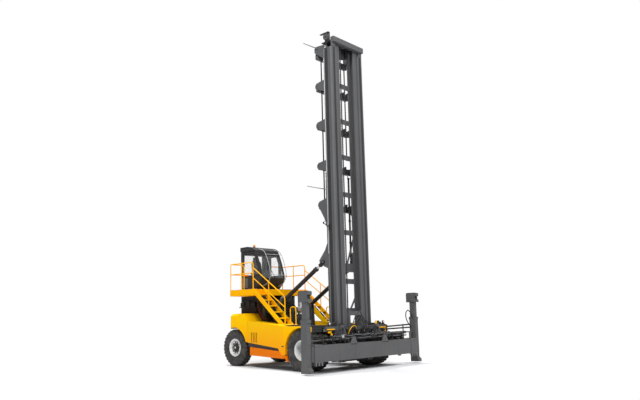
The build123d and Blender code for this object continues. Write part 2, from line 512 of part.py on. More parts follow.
# Lift chains over their sheaves, held on the inner stage
CHAIN_Y = 260
CHAIN_Z = INNER_TOP - 210
CHAIN_R = 118
wheel = bar((430, CHAIN_Y - 30, CHAIN_Z), (430, CHAIN_Y + 30, CHAIN_Z), CHAIN_R)
wheel = wheel + bar((430, CHAIN_Y - 50, CHAIN_Z), (430, CHAIN_Y + 50, CHAIN_Z), 28)
for y0, y1 in ((CHAIN_Y - 48, CHAIN_Y - 34), (CHAIN_Y + 34, CHAIN_Y + 48)):
    wheel = wheel + block(395, 465, y0, y1, CHAIN_Z - 50, INNER_TOP - 0.3)
CHAIN_X = (430 - CHAIN_R, 430 + CHAIN_R)
ANCHOR_Z = INNER_TOP - 4380
fall = block(CHAIN_X[1] + 0.3, CHAIN_X[1] + 28, CHAIN_Y - 28, CHAIN_Y + 28, 2010, CHAIN_Z)
anchor = block(CHAIN_X[0] - 28, CHAIN_X[0] - 0.3, CHAIN_Y - 28, CHAIN_Y + 28, ANCHOR_Z, CHAIN_Z)
anchor = anchor + block(CHAIN_X[0] - 10, 324.7, CHAIN_Y - 25, CHAIN_Y + 25, ANCHOR_Z + 10, ANCHOR_Z + 170)
save("lift_chains", both(wheel) + both(fall) + both(anchor))

# Lamp rods on the right upright
rods = []
for x0, z0, x1, z1 in ((0, MAST_TOP + 72, -730, MAST_TOP + 520), (340, 6234, -690, 6520)):
    rod = tube((x0, -870.6, z0), (x1, -870.6, z1), 12, 6)
    rods.append(rod + block(x1 - 45, x1 + 35, -912, -832, z1 - 40, z1 + 40))
save("mast_lamps", rods)

# Carriage: side plates, rollers, cross plates; slide bars bolted to its front
carriage = block(390, 707.7, 300, 380, 600, 2000)
for z in (780, 1850):
    carriage = carriage + bar((480, 340, z), (480, 519.7, z), 105)
carriage = carriage + mirrored(carriage)
carriage = carriage + block(600, 700, -340, 340, 1800, 1950) + block(600, 700, -340, 340, 640, 760)
save("carriage", [carriage])
save("slide_bars", [block(708, 790, -1650, 1650, 1330, 1450), block(708, 790, -1200, 1200, 690, 810)])

# Spreader: hollow twin-chamber beam, end collars, slide frame
CHAMBERS = ((916, 1092), (1108, 1284))
beam = block(*BEAM_X, -BEAM_Y, BEAM_Y, *BEAM_Z)
for y0, y1 in ((-BEAM_Y, -2400), (2400, BEAM_Y)):
    beam = beam + block(BEAM_X[0] - 15, BEAM_X[1] + 15, y0, y1, BEAM_Z[0] - 15, BEAM_Z[1] + 15)
for x0, x1 in CHAMBERS:
    beam = beam - block(x0, x1, -BEAM_Y - 10, BEAM_Y + 10, BEAM_Z[0] + 16, BEAM_Z[1] - 16)
for y in (2450, 2590, 2730):
    tab = block(BEAM_X[1] - 70, BEAM_X[1] + 10, y - 20, y + 20, BEAM_Z[0] - 105, BEAM_Z[0] + 5)
    beam = beam + tab + mirrored(tab)
save("spreader_beam", [beam])
hang = block(790.3, 899.7, 850, 1050, 640, 1490) + block(720, 899.7, 850, 1050, 1450.3, 1490)
hang = hang + plate([(890, 900.3), (1200, 900.3), (899, 1480), (890, 1480)], 930, 970)
hang = hang + mirrored(hang) + block(810, 899.7, -900, 900, 900, 1000)
TELE_ROWS = ((1, 1150), (-1, 1030))
for side, z in TELE_ROWS:
    hang = hang - bar((1100, -1100, z), (1100, 1100, z), 44.2)
save("slide_frame", [hang])
valves = [block(822, 892, -520, -180, 1000.3, 1190) + bar((857, -500, 1180), (857, -500, 1300), 30),
          block(822, 892, 140, 420, 1000.3, 1150) + bar((857, 300, 1140), (857, 300, 1260), 30)]
valves.append(bar((850, -160, 1050.3), (850, 120, 1050.3), 50))
tele_barrels = []
for side, z in TELE_ROWS:
    shell = bar((1100, -1050 * side, z), (1100, 2350 * side, z), 44)
    tele_barrels.append(shell - bar((1100, -900 * side, z), (1100, 2400 * side, z), 24))
stand = []
for y in (-700, 700):
    post = block(1070, 1130, y - 30, y + 30, 900, 1150)
    for side, z in TELE_ROWS:
        post = post - bar((1100, y - 60, z), (1100, y + 60, z), 44.2)
    stand.append(post)
save("spreader_hydraulics", tele_barrels + stand + valves)


def arm_and_post(side, chamber, z_rod):
    """Telescoping arm with its post sleeve, foot and cylinder rod, built on the left."""
    x0, x1 = chamber
    shell = block(x0 + 10, x1 - 10, -2000, POST_Y[0] + 10, BEAM_Z[0] + 16.5, BEAM_Z[1] - 26)
    shell = shell - block(x0 + 24, x1 - 24, -2010, POST_Y[0] - 60, BEAM_Z[0] + 30, BEAM_Z[1] - 40)
    sleeve = block(960, 1220, *POST_Y, 160, 1690) + block(940, 1240, *POST_Y, 1600, 1690)
    sleeve = sleeve - block(976, 1204, POST_Y[0] + 16, POST_Y[1] - 16, 200, 1600)
    sleeve = sleeve - block(980.7, 1199.3, POST_Y[0] + 20.7, POST_Y[1] - 20.7, 1500, 1700)
    shoe = plate([(940, 60), (1300, 60), (1310, 150), (1230, 230), (940, 230)], *POST_Y)
    shoe = shoe - block(976, 1204, POST_Y[0] + 16, POST_Y[1] - 16, 200, 1700)
    rod = bar((1100, -800, z_rod), (1100, POST_Y[0] + 5, z_rod), 22)
    return shell + sleeve + shoe + rod


left = arm_and_post(1, CHAMBERS[0], TELE_ROWS[0][1])
right = mirrored(arm_and_post(-1, CHAMBERS[1], TELE_ROWS[1][1]))
save("tele_left", [left])
save("tele_right", [right])
neck = block(981, 1199, POST_Y[0] + 21, POST_Y[1] - 21, 210, 2260)
top = plate([(850, 2240), (1300, 2240), (1300, 2330), (1240, 2350), (1240, 2450), (1300, 2470), (1300, 2560),
             (1260, 2590), (880, 2590), (850, 2560)], *POST_Y)
save("post_left", [neck + top])
save("post_right", [mirrored(neck + top)])

# Tilt cylinders, drawn along X from the base pin and then swung up to the eye
reach = hypot(TILT_EYE[0] - TILT_BASE[0], TILT_EYE[1] - TILT_BASE[1])
rise = degrees(atan2(TILT_EYE[1] - TILT_BASE[1], TILT_EYE[0] - TILT_BASE[0]))
swing = Pos(TILT_BASE[0], TILT_Y, TILT_BASE[1]) * Rot(0, -rise, 0)
case = bar((0, -40, 0), (0, 40, 0), 80) + block(0, 160, -40, 40, -70, 70)
case = case + bar((140, 0, 0), (reach - 400, 0, 0), 72)
case = case - bar((0, -50, 0), (0, 50, 0), 40.3) - bar((230, 0, 0), (reach - 380, 0, 0), 38.5)
save("tilt_barrel_left", [swing * case])
save("tilt_barrel_right", [mirrored(swing * case)])
fork = bar((400, 0, 0), (reach - 210, 0, 0), 38)
for y0, y1 in ((-65, -28), (28, 65)):
    fork = fork + block(reach - 235, reach, y0, y1, -55, 55) + bar((reach, y0, 0), (reach, y1, 0), 70)
fork = fork + block(reach - 235, reach - 205, -65, 65, -55, 55)
fork = fork - bar((reach, -80, 0), (reach, 80, 0), 43)
save("tilt_rod_left", [swing * fork])
save("tilt_rod_right", [mirrored(swing * fork)])
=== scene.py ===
"""Dresses the empty container handler: finishes, tyres, rims, rails, hoses, trim and the stage."""
import bpy
import json
import math
import numpy as np
from mathutils import Matrix, Vector


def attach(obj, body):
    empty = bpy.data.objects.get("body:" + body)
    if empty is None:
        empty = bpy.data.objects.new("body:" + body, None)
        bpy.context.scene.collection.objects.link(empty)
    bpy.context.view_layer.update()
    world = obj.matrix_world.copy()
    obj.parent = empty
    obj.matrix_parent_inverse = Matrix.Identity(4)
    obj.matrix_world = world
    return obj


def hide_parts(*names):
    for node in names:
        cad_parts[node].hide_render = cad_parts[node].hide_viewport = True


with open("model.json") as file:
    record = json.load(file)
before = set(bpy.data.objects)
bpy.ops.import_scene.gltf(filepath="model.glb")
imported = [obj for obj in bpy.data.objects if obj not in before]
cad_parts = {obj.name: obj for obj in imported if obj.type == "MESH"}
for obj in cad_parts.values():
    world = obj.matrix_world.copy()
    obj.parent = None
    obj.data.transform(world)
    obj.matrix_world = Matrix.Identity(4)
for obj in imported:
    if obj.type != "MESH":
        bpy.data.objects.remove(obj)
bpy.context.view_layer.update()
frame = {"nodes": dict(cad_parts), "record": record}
NODES = frame["nodes"]

bl_info = {
    "name": "Container handler dresser",
    "version": (1, 0, 0),
    "blender": (4, 5, 0),
    "location": "View3D > Sidebar > Handler",
    "description": "Finishes and fine pieces of a tall-mast empty container handler",
    "category": "Object",
}

SIDES = (("left", 1), ("right", -1))
JOINT_AT = {j["name"]: j.get("pos_m") for j in frame["record"]["behaviour"]["joints"]}
DRIVE_X, _, AXLE_Z = JOINT_AT["spin_front_left"]
STEER_X = JOINT_AT["spin_rear_left"][0]
REAR_Y = abs(JOINT_AT["spin_rear_left"][1])
TWIN_Y = abs(JOINT_AT["spin_front_left"][1])
TWIN_HALF = 0.215
LUGS = 30
AHEAD = (1, 0, 0)
OUT = (0, 1, 0)
UP = (0, 0, 1)
SHARP = math.radians(38)
PRISM = np.array([(0, 1, 2, 3), (7, 6, 5, 4), (4, 5, 1, 0), (5, 6, 2, 1), (6, 7, 3, 2), (7, 4, 0, 3)])


def at(x, y, z):
    """A point given from the drive axle, in metres, as a point of the row frame."""
    return (DRIVE_X + x, y, z)


# Arrays: grids, profiles along paths, lathes and small solids
def grid_faces(rows, cols, wrap_rows=False, wrap_cols=False):
    """Quads of a rows by cols grid of points, closed round either way on request."""
    i = np.arange(rows if wrap_rows else rows - 1)
    j = np.arange(cols if wrap_cols else cols - 1)
    i, j = np.meshgrid(i, j, indexing="ij")
    i2, j2 = (i + 1) % rows, (j + 1) % cols
    quads = np.stack([i * cols + j, i2 * cols + j, i2 * cols + j2, i * cols + j2], axis=-1)
    return quads.reshape(-1, 4)


def joined(parts):
    """One (points, quads) pair from several, each pair's indices moved past the last one's points."""
    starts = np.cumsum([0] + [len(p) for p, _ in parts[:-1]])
    points = np.concatenate([np.asarray(p, float).reshape(-1, 3) for p, _ in parts])
    quads = np.concatenate([np.asarray(q) + s for (_, q), s in zip(parts, starts)])
    return points, quads


def mirrored(part):
    """The same part across the machine's middle: y changes sign and each quad turns round."""
    points, quads = part
    return np.asarray(points) * (1, -1, 1), np.asarray(quads)[:, ::-1]


def sided(part, side):
    """The part itself on the left, its mirror image on the right."""
    return part if side > 0 else mirrored(part)


def pair(part):
    """A part and its mirror image."""
    return joined([part, mirrored(part)])


def make(name, part, finish, body="chassis", smooth=True, replaces=()):
    """A mesh object from points and quads, riding on a body, with its finish in its one material slot."""
    points, quads = part
    mesh = bpy.data.meshes.new(name)
    mesh.vertices.add(len(points))
    mesh.vertices.foreach_set("co", np.asarray(points, np.float32).ravel())
    mesh.loops.add(quads.size)
    mesh.loops.foreach_set("vertex_index", np.asarray(quads, np.int32).ravel())
    mesh.polygons.add(len(quads))
    mesh.polygons.foreach_set("loop_start", np.arange(0, quads.size, 4, dtype=np.int32))
    mesh.update(calc_edges=True)
    mesh.validate()
    mesh.polygons.foreach_set("use_smooth", np.full(len(mesh.polygons), smooth))
    if smooth:
        mesh.set_sharp_from_angle(angle=SHARP)
    piece = bpy.data.objects.new(name, mesh)
    bpy.context.scene.collection.objects.link(piece)
    mesh.materials.append(FINISHES[finish])
    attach(piece, body)
    if replaces:
        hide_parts(*replaces)
    return piece


def rounded(corners, radius, steps=6):
    """A path through the corners with each bend cut to an arc: a quadratic curve between two set-back points."""
    pts = np.asarray(corners, float)
    path = [pts[:1]]
    t = np.linspace(0, 1, steps)[:, None]
    for a, b, c in zip(pts, pts[1:], pts[2:]):
        back = min(radius, 0.45 * np.linalg.norm(a - b), 0.45 * np.linalg.norm(c - b))
        p = b + (a - b) / np.linalg.norm(a - b) * back
        q = b + (c - b) / np.linalg.norm(c - b) * back
        path.append((1 - t) ** 2 * p + 2 * t * (1 - t) * b + t ** 2 * q)
    path.append(pts[-1:])
    return np.concatenate(path)


def smoothed(corners, steps=8):
    """A flowing path through the corners: Catmull-Rom spans, sampled evenly in each span."""
    p = np.asarray(corners, float)
    p = np.concatenate([2 * p[:1] - p[1:2], p, 2 * p[-1:] - p[-2:-1]])
    t = np.linspace(0, 1, steps, endpoint=False)[:, None, None]
    a, b, c, d = p[:-3], p[1:-2], p[2:-1], p[3:]
    curve = 0.5 * (2 * b + (c - a) * t + (2 * a - 5 * b + 4 * c - d) * t ** 2 + (3 * b - a - 3 * c + d) * t ** 3)
    return np.concatenate([curve.transpose(1, 0, 2).reshape(-1, 3), p[-2:-1]])


def tube(path, radius, sides=12):
    """A round profile carried along a path: ring k is path[k] + radius (cos a u + sin a v), u and v square to the
    tangent, and the ends close to their middles."""
    p = np.asarray(path, float)
    tangent = np.gradient(p, axis=0)
    tangent /= np.linalg.norm(tangent, axis=1)[:, None]
    u = np.empty_like(p)
    first = np.cross(tangent[0], UP if abs(tangent[0][2]) < 0.9 else AHEAD)
    for k, t in enumerate(tangent):
        first = first - t * np.dot(first, t)
        first = first / np.linalg.norm(first)
        u[k] = first
    v = np.cross(tangent, u)
    a = np.linspace(0, 2 * np.pi, sides, endpoint=False)
    r = np.broadcast_to(np.asarray(radius, float), (len(p),))[:, None, None]
    rings = p[:, None] + r * (np.cos(a)[None, :, None] * u[:, None] + np.sin(a)[None, :, None] * v[:, None])
    ends = [np.repeat(p[:1], sides, 0)[None], rings, np.repeat(p[-1:], sides, 0)[None]]
    rings = np.concatenate(ends)
    return rings.reshape(-1, 3), grid_faces(len(p) + 2, sides, wrap_cols=True)


def lathe(profile, centre, steps=96, axis="y"):
    """A (radius, along) profile turned about an axis through centre: about y, (r sin a, along, r cos a)."""
    prof = np.asarray(profile, float)
    a = np.linspace(0, 2 * np.pi, steps, endpoint=False)
    r, h = prof[:, 0, None], np.repeat(prof[:, 1, None], steps, 1)
    c, s = r * np.cos(a), r * np.sin(a)
    order = {"y": (s, h, c), "x": (h, c, s), "z": (c, s, h)}[axis]
    points = np.stack(order, axis=-1) + np.asarray(centre, float)
    return points.reshape(-1, 3), grid_faces(len(prof), steps, wrap_cols=True)


def cuboid(lo, hi, edge=0.004):
    """A box with chamfered edges: eight corners, each split into three points set back by edge."""
    lo, hi = np.minimum(lo, hi), np.maximum(lo, hi)
    edge = min(edge, 0.3 * float(np.min(np.asarray(hi) - np.asarray(lo))))
    s = np.array([(x, y, z) for x in (0, 1) for y in (0, 1) for z in (0, 1)])
    corner = np.where(s, hi, lo).astype(float)
    inward = np.where(s, -1.0, 1.0) * edge
    pts = np.stack([corner + inward * (np.arange(3) != k) for k in range(3)], axis=1).reshape(-1, 3)

    def n(c, k):
        return 3 * c + k
    quads = []
    for k, (a, b) in enumerate(((1, 2), (2, 0), (0, 1))):
        step = [4, 2, 1]
        for end in (0, 1):
            base = step[k] * end
            ring = [base, base + step[a], base + step[a] + step[b], base + step[b]]
            face = [n(c, k) for c in ring]
            quads.append(face if end else face[::-1])
        for p in (0, 1):
            for q in (0, 1):
                c0 = step[a] * p + step[b] * q
                c1 = c0 + step[k]
                edge_face = [n(c0, a), n(c1, a), n(c1, b), n(c0, b)]
                quads.append(edge_face if (p == q) else edge_face[::-1])
    for c in range(8):
        tri = [n(c, 0), n(c, 1), n(c, 2)]
        odd = bin(c).count("1") % 2
        tri = tri if odd else tri[::-1]
        quads.append([tri[0], tri[1], tri[2], tri[2]])
    return pts, np.array(quads)


def hexes(centres, axis, radius, height):
    """Hexagon heads at many places: six points round each centre, at the foot, the rim and a smaller crown."""
    centres = np.asarray(centres, float).reshape(-1, 3)
    axis = np.asarray(axis, float) / np.linalg.norm(axis)
    u = np.cross(axis, UP if abs(axis[2]) < 0.9 else AHEAD)
    u /= np.linalg.norm(u)
    v = np.cross(axis, u)
    a = np.linspace(0, 2 * np.pi, 6, endpoint=False)
    ring = np.cos(a)[:, None] * u + np.sin(a)[:, None] * v
    levels = [(radius, 0.0), (radius, 0.8 * height), (0.8 * radius, height), (0.0, height)]
    stack = np.stack([ring * r + axis * h for r, h in levels])
    points = centres[:, None, None] + stack[None]
    quads = grid_faces(len(levels), 6, wrap_cols=True)
    offs = (np.arange(len(centres)) * 6 * len(levels))[:, None, None]
    return points.reshape(-1, 3), (quads[None] + offs).reshape(-1, 4)


def boxes(rows, edge=0.004, start=DRIVE_X):
    """Chamfered boxes from rows of x, y and z limits, x given from the drive axle or another start."""
    return joined([cuboid((start + x0, y0, z0), (start + x1, y1, z1), edge) for x0, x1, y0, y1, z0, z1 in rows])


def pipes(paths, radius, bend=0.06, sides=10):
    """Round bars along cornered paths, x given from the drive axle, each corner cut to an arc."""
    return joined([tube([at(*p) for p in rounded(path, bend)], radius, sides) for path in paths])


def flows(paths, radius, sides=10):
    """Round bars along flowing paths, x given from the drive axle."""
    return joined([tube([at(*p) for p in smoothed(path)], radius, sides) for path in paths])


def heads(centres, axis, radius, height):
    """Bolt heads at places given from the drive axle."""
    return hexes([at(*c) for c in centres], axis, radius, height)


def plates(outlines, y0, y1):
    """Flat plates cut to four-cornered X-Z outlines between two Y planes."""
    parts = []
    for outline in outlines:
        flat = np.array([at(x, 0, z) for x, z in outline])
        low, high = flat + (0, y0, 0), flat + (0, y1, 0)
        area = np.sum(flat[:, 0] * np.roll(flat[:, 2], -1) - np.roll(flat[:, 0], -1) * flat[:, 2])
        parts.append((np.concatenate([low, high]), PRISM if area > 0 else PRISM[:, ::-1]))
    return joined(parts)


def walls(outlines, x0, x1):
    """Flat plates cut to four-cornered Y-Z outlines between two X planes, corners running round from the low left."""
    parts = []
    for outline in outlines:
        back = np.array([at(x0, y, z) for y, z in outline])
        front = np.array([at(x1, y, z) for y, z in outline])
        parts.append((np.concatenate([back, front]), PRISM[:, ::-1]))
    return joined(parts)


def edging(outline, y, width, depth, out=1):
    """A rubber strip round an opening: a square profile carried round a closed X-Z outline at one Y."""
    p = np.array([at(x, 0, z) for x, z in outline])
    before, after = np.roll(p, 1, 0), np.roll(p, -1, 0)
    a = (p - before) / np.linalg.norm(p - before, axis=1)[:, None]
    b = (after - p) / np.linalg.norm(after - p, axis=1)[:, None]
    normal = np.cross(a + b, OUT)
    normal /= np.linalg.norm(normal, axis=1)[:, None]
    reach = width / np.maximum(np.sqrt((1 + np.sum(a * b, axis=1)) / 2), 0.35)
    inner, outer = p - 0.5 * normal * reach[:, None], p + 0.5 * normal * reach[:, None]
    rings = np.stack([inner + (0, y, 0), outer + (0, y, 0), outer + (0, y + out * depth, 0),
                      inner + (0, y + out * depth, 0)], axis=1)
    quads = grid_faces(len(p), 4, wrap_rows=True, wrap_cols=True)
    turn = np.sum(p[:, 0] * after[:, 2] - after[:, 0] * p[:, 2]) * out
    return rings.reshape(-1, 3), quads if turn > 0 else quads[:, ::-1]


# Finishes: shader values with operators, one builder for every material
def math_method(operation, turned_round=False):
    """An operator method that adds a Math node."""
    def method(self, other):
        first, second = (other, self) if turned_round else (self, other)
        return self.combine(operation, first, second)
    return method


class Value:
    """A shader number. Operators on it add Math nodes."""

    def __init__(self, finish, socket):
        self.finish = finish
        self.socket = socket

    def combine(self, operation, first, second, clamp=False):
        """A Math node's result from two values."""
        node = self.finish.node("ShaderNodeMath", {"operation": operation, "use_clamp": clamp}, {0: first, 1: second})
        return Value(self.finish, node.outputs[0])

    __add__ = math_method("ADD")
    __radd__ = math_method("ADD", True)
    __sub__ = math_method("SUBTRACT")
    __mul__ = math_method("MULTIPLY")
    __rmul__ = math_method("MULTIPLY", True)

    def clamp(self):
        """The value held between 0 and 1."""
        return self.combine("ADD", self, 0.0, clamp=True)


class Finish:
    """One material: a Principled shader and the nodes that feed it."""

    def __init__(self, name):
        self.material = bpy.data.materials.new(name)
        self.material.use_nodes = True
        self.tree = self.material.node_tree
        self.shader = self.tree.nodes["Principled BSDF"]
        self.coords = self.node("ShaderNodeTexCoord").outputs["Object"]

    def node(self, kind, settings=None, inputs=None):
        """A node of a kind: settings first, then socket values or links."""
        node = self.tree.nodes.new(kind)
        for key, value in (settings or {}).items():
            setattr(node, key, value)
        self.feed(node, inputs or {})
        return node

    def feed(self, node, inputs):
        """Sets or links a node's inputs by name or number."""
        for key, value in inputs.items():
            if isinstance(value, Value):
                value = value.socket
            if isinstance(value, bpy.types.NodeSocket):
                self.tree.links.new(value, node.inputs[key])
            else:
                node.inputs[key].default_value = value

    def noise(self, scale, detail=3.0, rough=0.55, stretch=(1, 1, 1)):
        """Cloudy noise in the row frame, stretched along the axes."""
        mapping = self.node("ShaderNodeMapping", None, {"Vector": self.coords, "Scale": stretch})
        inputs = {"Vector": mapping.outputs[0], "Scale": scale, "Detail": detail, "Roughness": rough}
        return Value(self, self.node("ShaderNodeTexNoise", None, inputs).outputs["Fac"])

    def span(self, value, low, high, to_low=0.0, to_high=1.0):
        """The value's range low to high carried to another range, held at its ends."""
        inputs = {0: value, 1: low, 2: high, 3: to_low, 4: to_high}
        return Value(self, self.node("ShaderNodeMapRange", {"clamp": True}, inputs).outputs[0])

    def height(self):
        """The height above the ground."""
        return Value(self, self.node("ShaderNodeSeparateXYZ", None, {0: self.coords}).outputs["Z"])

    def mix(self, factor, first, second):
        """A colour between two by a factor."""
        node = self.node("ShaderNodeMix", {"data_type": "RGBA"}, {0: factor, 6: first, 7: second})
        return node.outputs[2]

    def bump(self, value, strength, distance):
        """A normal from a height value."""
        inputs = {"Height": value, "Strength": strength, "Distance": distance}
        return self.node("ShaderNodeBump", None, inputs).outputs["Normal"]

    def shade(self, **inputs):
        """Feeds the Principled shader: underscores stand for spaces."""
        self.feed(self.shader, {key.replace("_", " "): value for key, value in inputs.items()})
        return self.material


FINISHES = {}


def rgba(colour, gain=1.0):
    """A property's colour as four numbers."""
    return (colour[0] * gain, colour[1] * gain, colour[2] * gain, 1.0)


def paint(name, colour, gloss, dust=0.35, shine=0.25, rise=0.0, bounce=None):
    """Sprayed paint: faded patches, dust that thickens near the ground, streaks, fine peel in the coat.

    With rise, the paint carries painted light: the green part grows up to the flank's top edge, a painted highlight
    as on a side lit from above, and shrinks lower down, a painted shade; bounce is the colour that the paint throws
    on its surroundings, if not its own."""
    f = Finish(name)
    fade = f.span(f.noise(0.8, 4.0), 0.35, 0.75)
    streak = f.span(f.noise(5.0, 3.0, 0.6, (1.0, 1.0, 0.12)), 0.52, 0.8)
    low = f.span(f.height(), 0.0, 1.5, 1.0, 0.12)
    grime = (low * f.span(f.noise(3.2, 5.0, 0.62), 0.42, 0.78) * dust + streak * (0.18 * dust)).clamp()
    tone = f.mix(fade, rgba(colour), rgba(colour, 0.86))
    # Painted light: the pale tone, with more green, is a painted highlight toward the flank's top edge; the shaded
    # tone, with less green, is a painted shade lower down; above 2.3 m the mix falls halfway back.
    if rise:
        shaded_tone, pale = ((colour[0], colour[1] * k, colour[2], 1.0) for k in (1 - rise, 1 + rise))
        tone = f.mix(f.span(f.height(), 0.5, 1.7) - 0.5 * f.span(f.height(), 1.9, 2.3), shaded_tone, pale)
    if bounce:
        tone = f.mix(f.node("ShaderNodeLightPath").outputs["Is Diffuse Ray"], tone, rgba(bounce))
    colour_out = f.mix(grime, tone, (0.23, 0.19, 0.14, 1.0))
    rough = (gloss + 0.10 * fade + 0.35 * grime).clamp()
    peel = f.noise(190.0, 2.0) + 3.0 * f.noise(7.0, 2.0)
    return f.shade(Base_Color=colour_out, Roughness=rough, Normal=f.bump(peel, 0.05, 0.002),
                   Specular_IOR_Level=shine)


def rubber(name, colour):
    """Tyre rubber: grey dust in the grooves and on the flanks, fine pitted grain."""
    f = Finish(name)
    dust = f.span(f.noise(6.0, 5.0, 0.65), 0.38, 0.72)
    fine = f.noise(120.0, 3.0)
    tone = f.mix(dust, rgba(colour), (0.085, 0.078, 0.068, 1.0))
    return f.shade(Base_Color=tone, Roughness=0.74 + 0.2 * dust, Normal=f.bump(fine, 0.22, 0.003))


def metal(name, colour, rough, metallic=1.0, brushed=(1, 1, 14)):
    """Bare metal: drawn scratches that change the gloss."""
    f = Finish(name)
    lines = f.noise(60.0, 4.0, 0.6, brushed)
    stain = f.span(f.noise(2.5, 4.0), 0.4, 0.8)
    return f.shade(Base_Color=f.mix(stain, rgba(colour), rgba(colour, 0.72)), Metallic=metallic,
                   Roughness=rough + 0.16 * lines + 0.12 * stain, Normal=f.bump(lines, 0.08, 0.001))


def plastic(name, colour, rough, grain=90.0):
    """Moulded plastic or cloth: fine even grain and a little fading."""
    f = Finish(name)
    fade = f.span(f.noise(1.7, 3.0), 0.35, 0.75)
    return f.shade(Base_Color=f.mix(fade, rgba(colour), rgba(colour, 0.7)), Roughness=rough + 0.1 * fade,
                   Normal=f.bump(f.noise(grain, 2.0), 0.15, 0.002))


def glazing(name, colour, alpha):
    """Tinted pane: mostly clear, with a film of dust that takes some of the shine."""
    f = Finish(name)
    film = f.span(f.noise(3.0, 4.0), 0.4, 0.8)
    material = f.shade(Base_Color=rgba(colour), Roughness=0.04 + 0.10 * film, Alpha=alpha + 0.03 * film)
    f.shade(Specular_IOR_Level=0.7, IOR=1.5)
    return material


def lens(name, colour, glow=0.0):
    """Lamp lens: coloured, glossy and ribbed."""
    f = Finish(name)
    ribs = Value(f, f.node("ShaderNodeTexWave", None, {"Vector": f.coords, "Scale": 40.0}).outputs["Fac"])
    f.shade(Emission_Color=rgba(colour), Emission_Strength=glow)
    return f.shade(Base_Color=f.mix(0.25 * ribs, rgba(colour), rgba(colour, 0.6)), Roughness=0.12 + 0.05 * ribs,
                   Normal=f.bump(ribs, 0.2, 0.002))


# Sizes and colours a user would change
def colour_setting(label, text, value):
    """A colour setting, linear."""
    return bpy.props.FloatVectorProperty(name=label, description=text, subtype="COLOR", default=value, min=0, max=1)


def length_setting(label, text, value):
    """A length setting in metres."""
    return bpy.props.FloatProperty(name=label, description=text, unit="LENGTH", default=value, min=0.004)


def angle_setting(label, text, degrees):
    """An angle setting, given in degrees."""
    return bpy.props.FloatProperty(name=label, description=text, subtype="ANGLE", default=math.radians(degrees))


class HandlerColours(bpy.types.PropertyGroup):
    """Paint and trim colours, linear."""
    yellow: colour_setting("Yellow", "Body, deck and rail paint", (0.95, 0.44, 0.001))
    orange: colour_setting("Orange", "Skirts and mudflaps", (0.82, 0.19, 0.001))
    mast: colour_setting("Mast grey", "Mast and spreader paint", (0.095, 0.097, 0.10))
    cab: colour_setting("Cab grey", "Cab shell paint", (0.042, 0.043, 0.045))
    black: colour_setting("Black", "Sills, covers and cylinders", (0.019, 0.0185, 0.0185))
    rim: colour_setting("Rim white", "Wheel rims", (0.72, 0.73, 0.73))
    rubber: colour_setting("Rubber", "Tyres and hoses", (0.016, 0.016, 0.017))


class HandlerSizes(bpy.types.PropertyGroup):
    """Sizes of the fine pieces."""
    rail: length_setting("Rail radius", "Handrail tube radius", 0.02)
    hose: length_setting("Hose radius", "Hydraulic hose radius", 0.014)
    nut: length_setting("Wheel nut radius", "Wheel nut radius", 0.021)
    bolt: length_setting("Bolt radius", "Frame bolt head radius", 0.016)


class HandlerCamera(bpy.types.PropertyGroup):
    """The viewpoint."""
    stand: bpy.props.FloatVectorProperty(name="Stand", description="Camera position from the drive axle",
                                         subtype="XYZ", default=(15.311, -17.634, 1.788))
    heading: angle_setting("Heading", "Direction of view from +X", 132.54)
    pitch: angle_setting("Pitch", "Upward look", 10.28)
    roll: angle_setting("Roll", "Turn about the line of view", -1.41)
    lens: bpy.props.FloatProperty(name="Lens", description="Focal length on a 36 mm sensor", default=36.13, min=5)


CAD_FINISH = {"yellow_paint": "yellow", "orange_paint": "orange", "black_paint": "black", "mast_grey": "mast",
              "frame_grey": "frame", "cab_grey": "cab", "rim_white": "rim", "tyre_rubber": "rubber",
              "steel_rod": "chrome", "engine_iron": "iron", "silencer_steel": "silencer", "dark_plastic": "plastic",
              "seat_fabric": "fabric", "clear_glass": "glass", "amber_lens": "amber", "clear_lens": "smoked",
              "chain_steel": "chain"}
SLOT_OF = {finish: slot for slot, finish in CAD_FINISH.items()}
SLOT_OF.update(light="mast_grey", dark="mast_grey", pale="mast_grey", copper="orange_paint", hose="tyre_rubber",
               steel="silencer_steel", mat="dark_plastic", rubber_trim="dark_plastic", white="clear_lens",
               red="amber_lens")


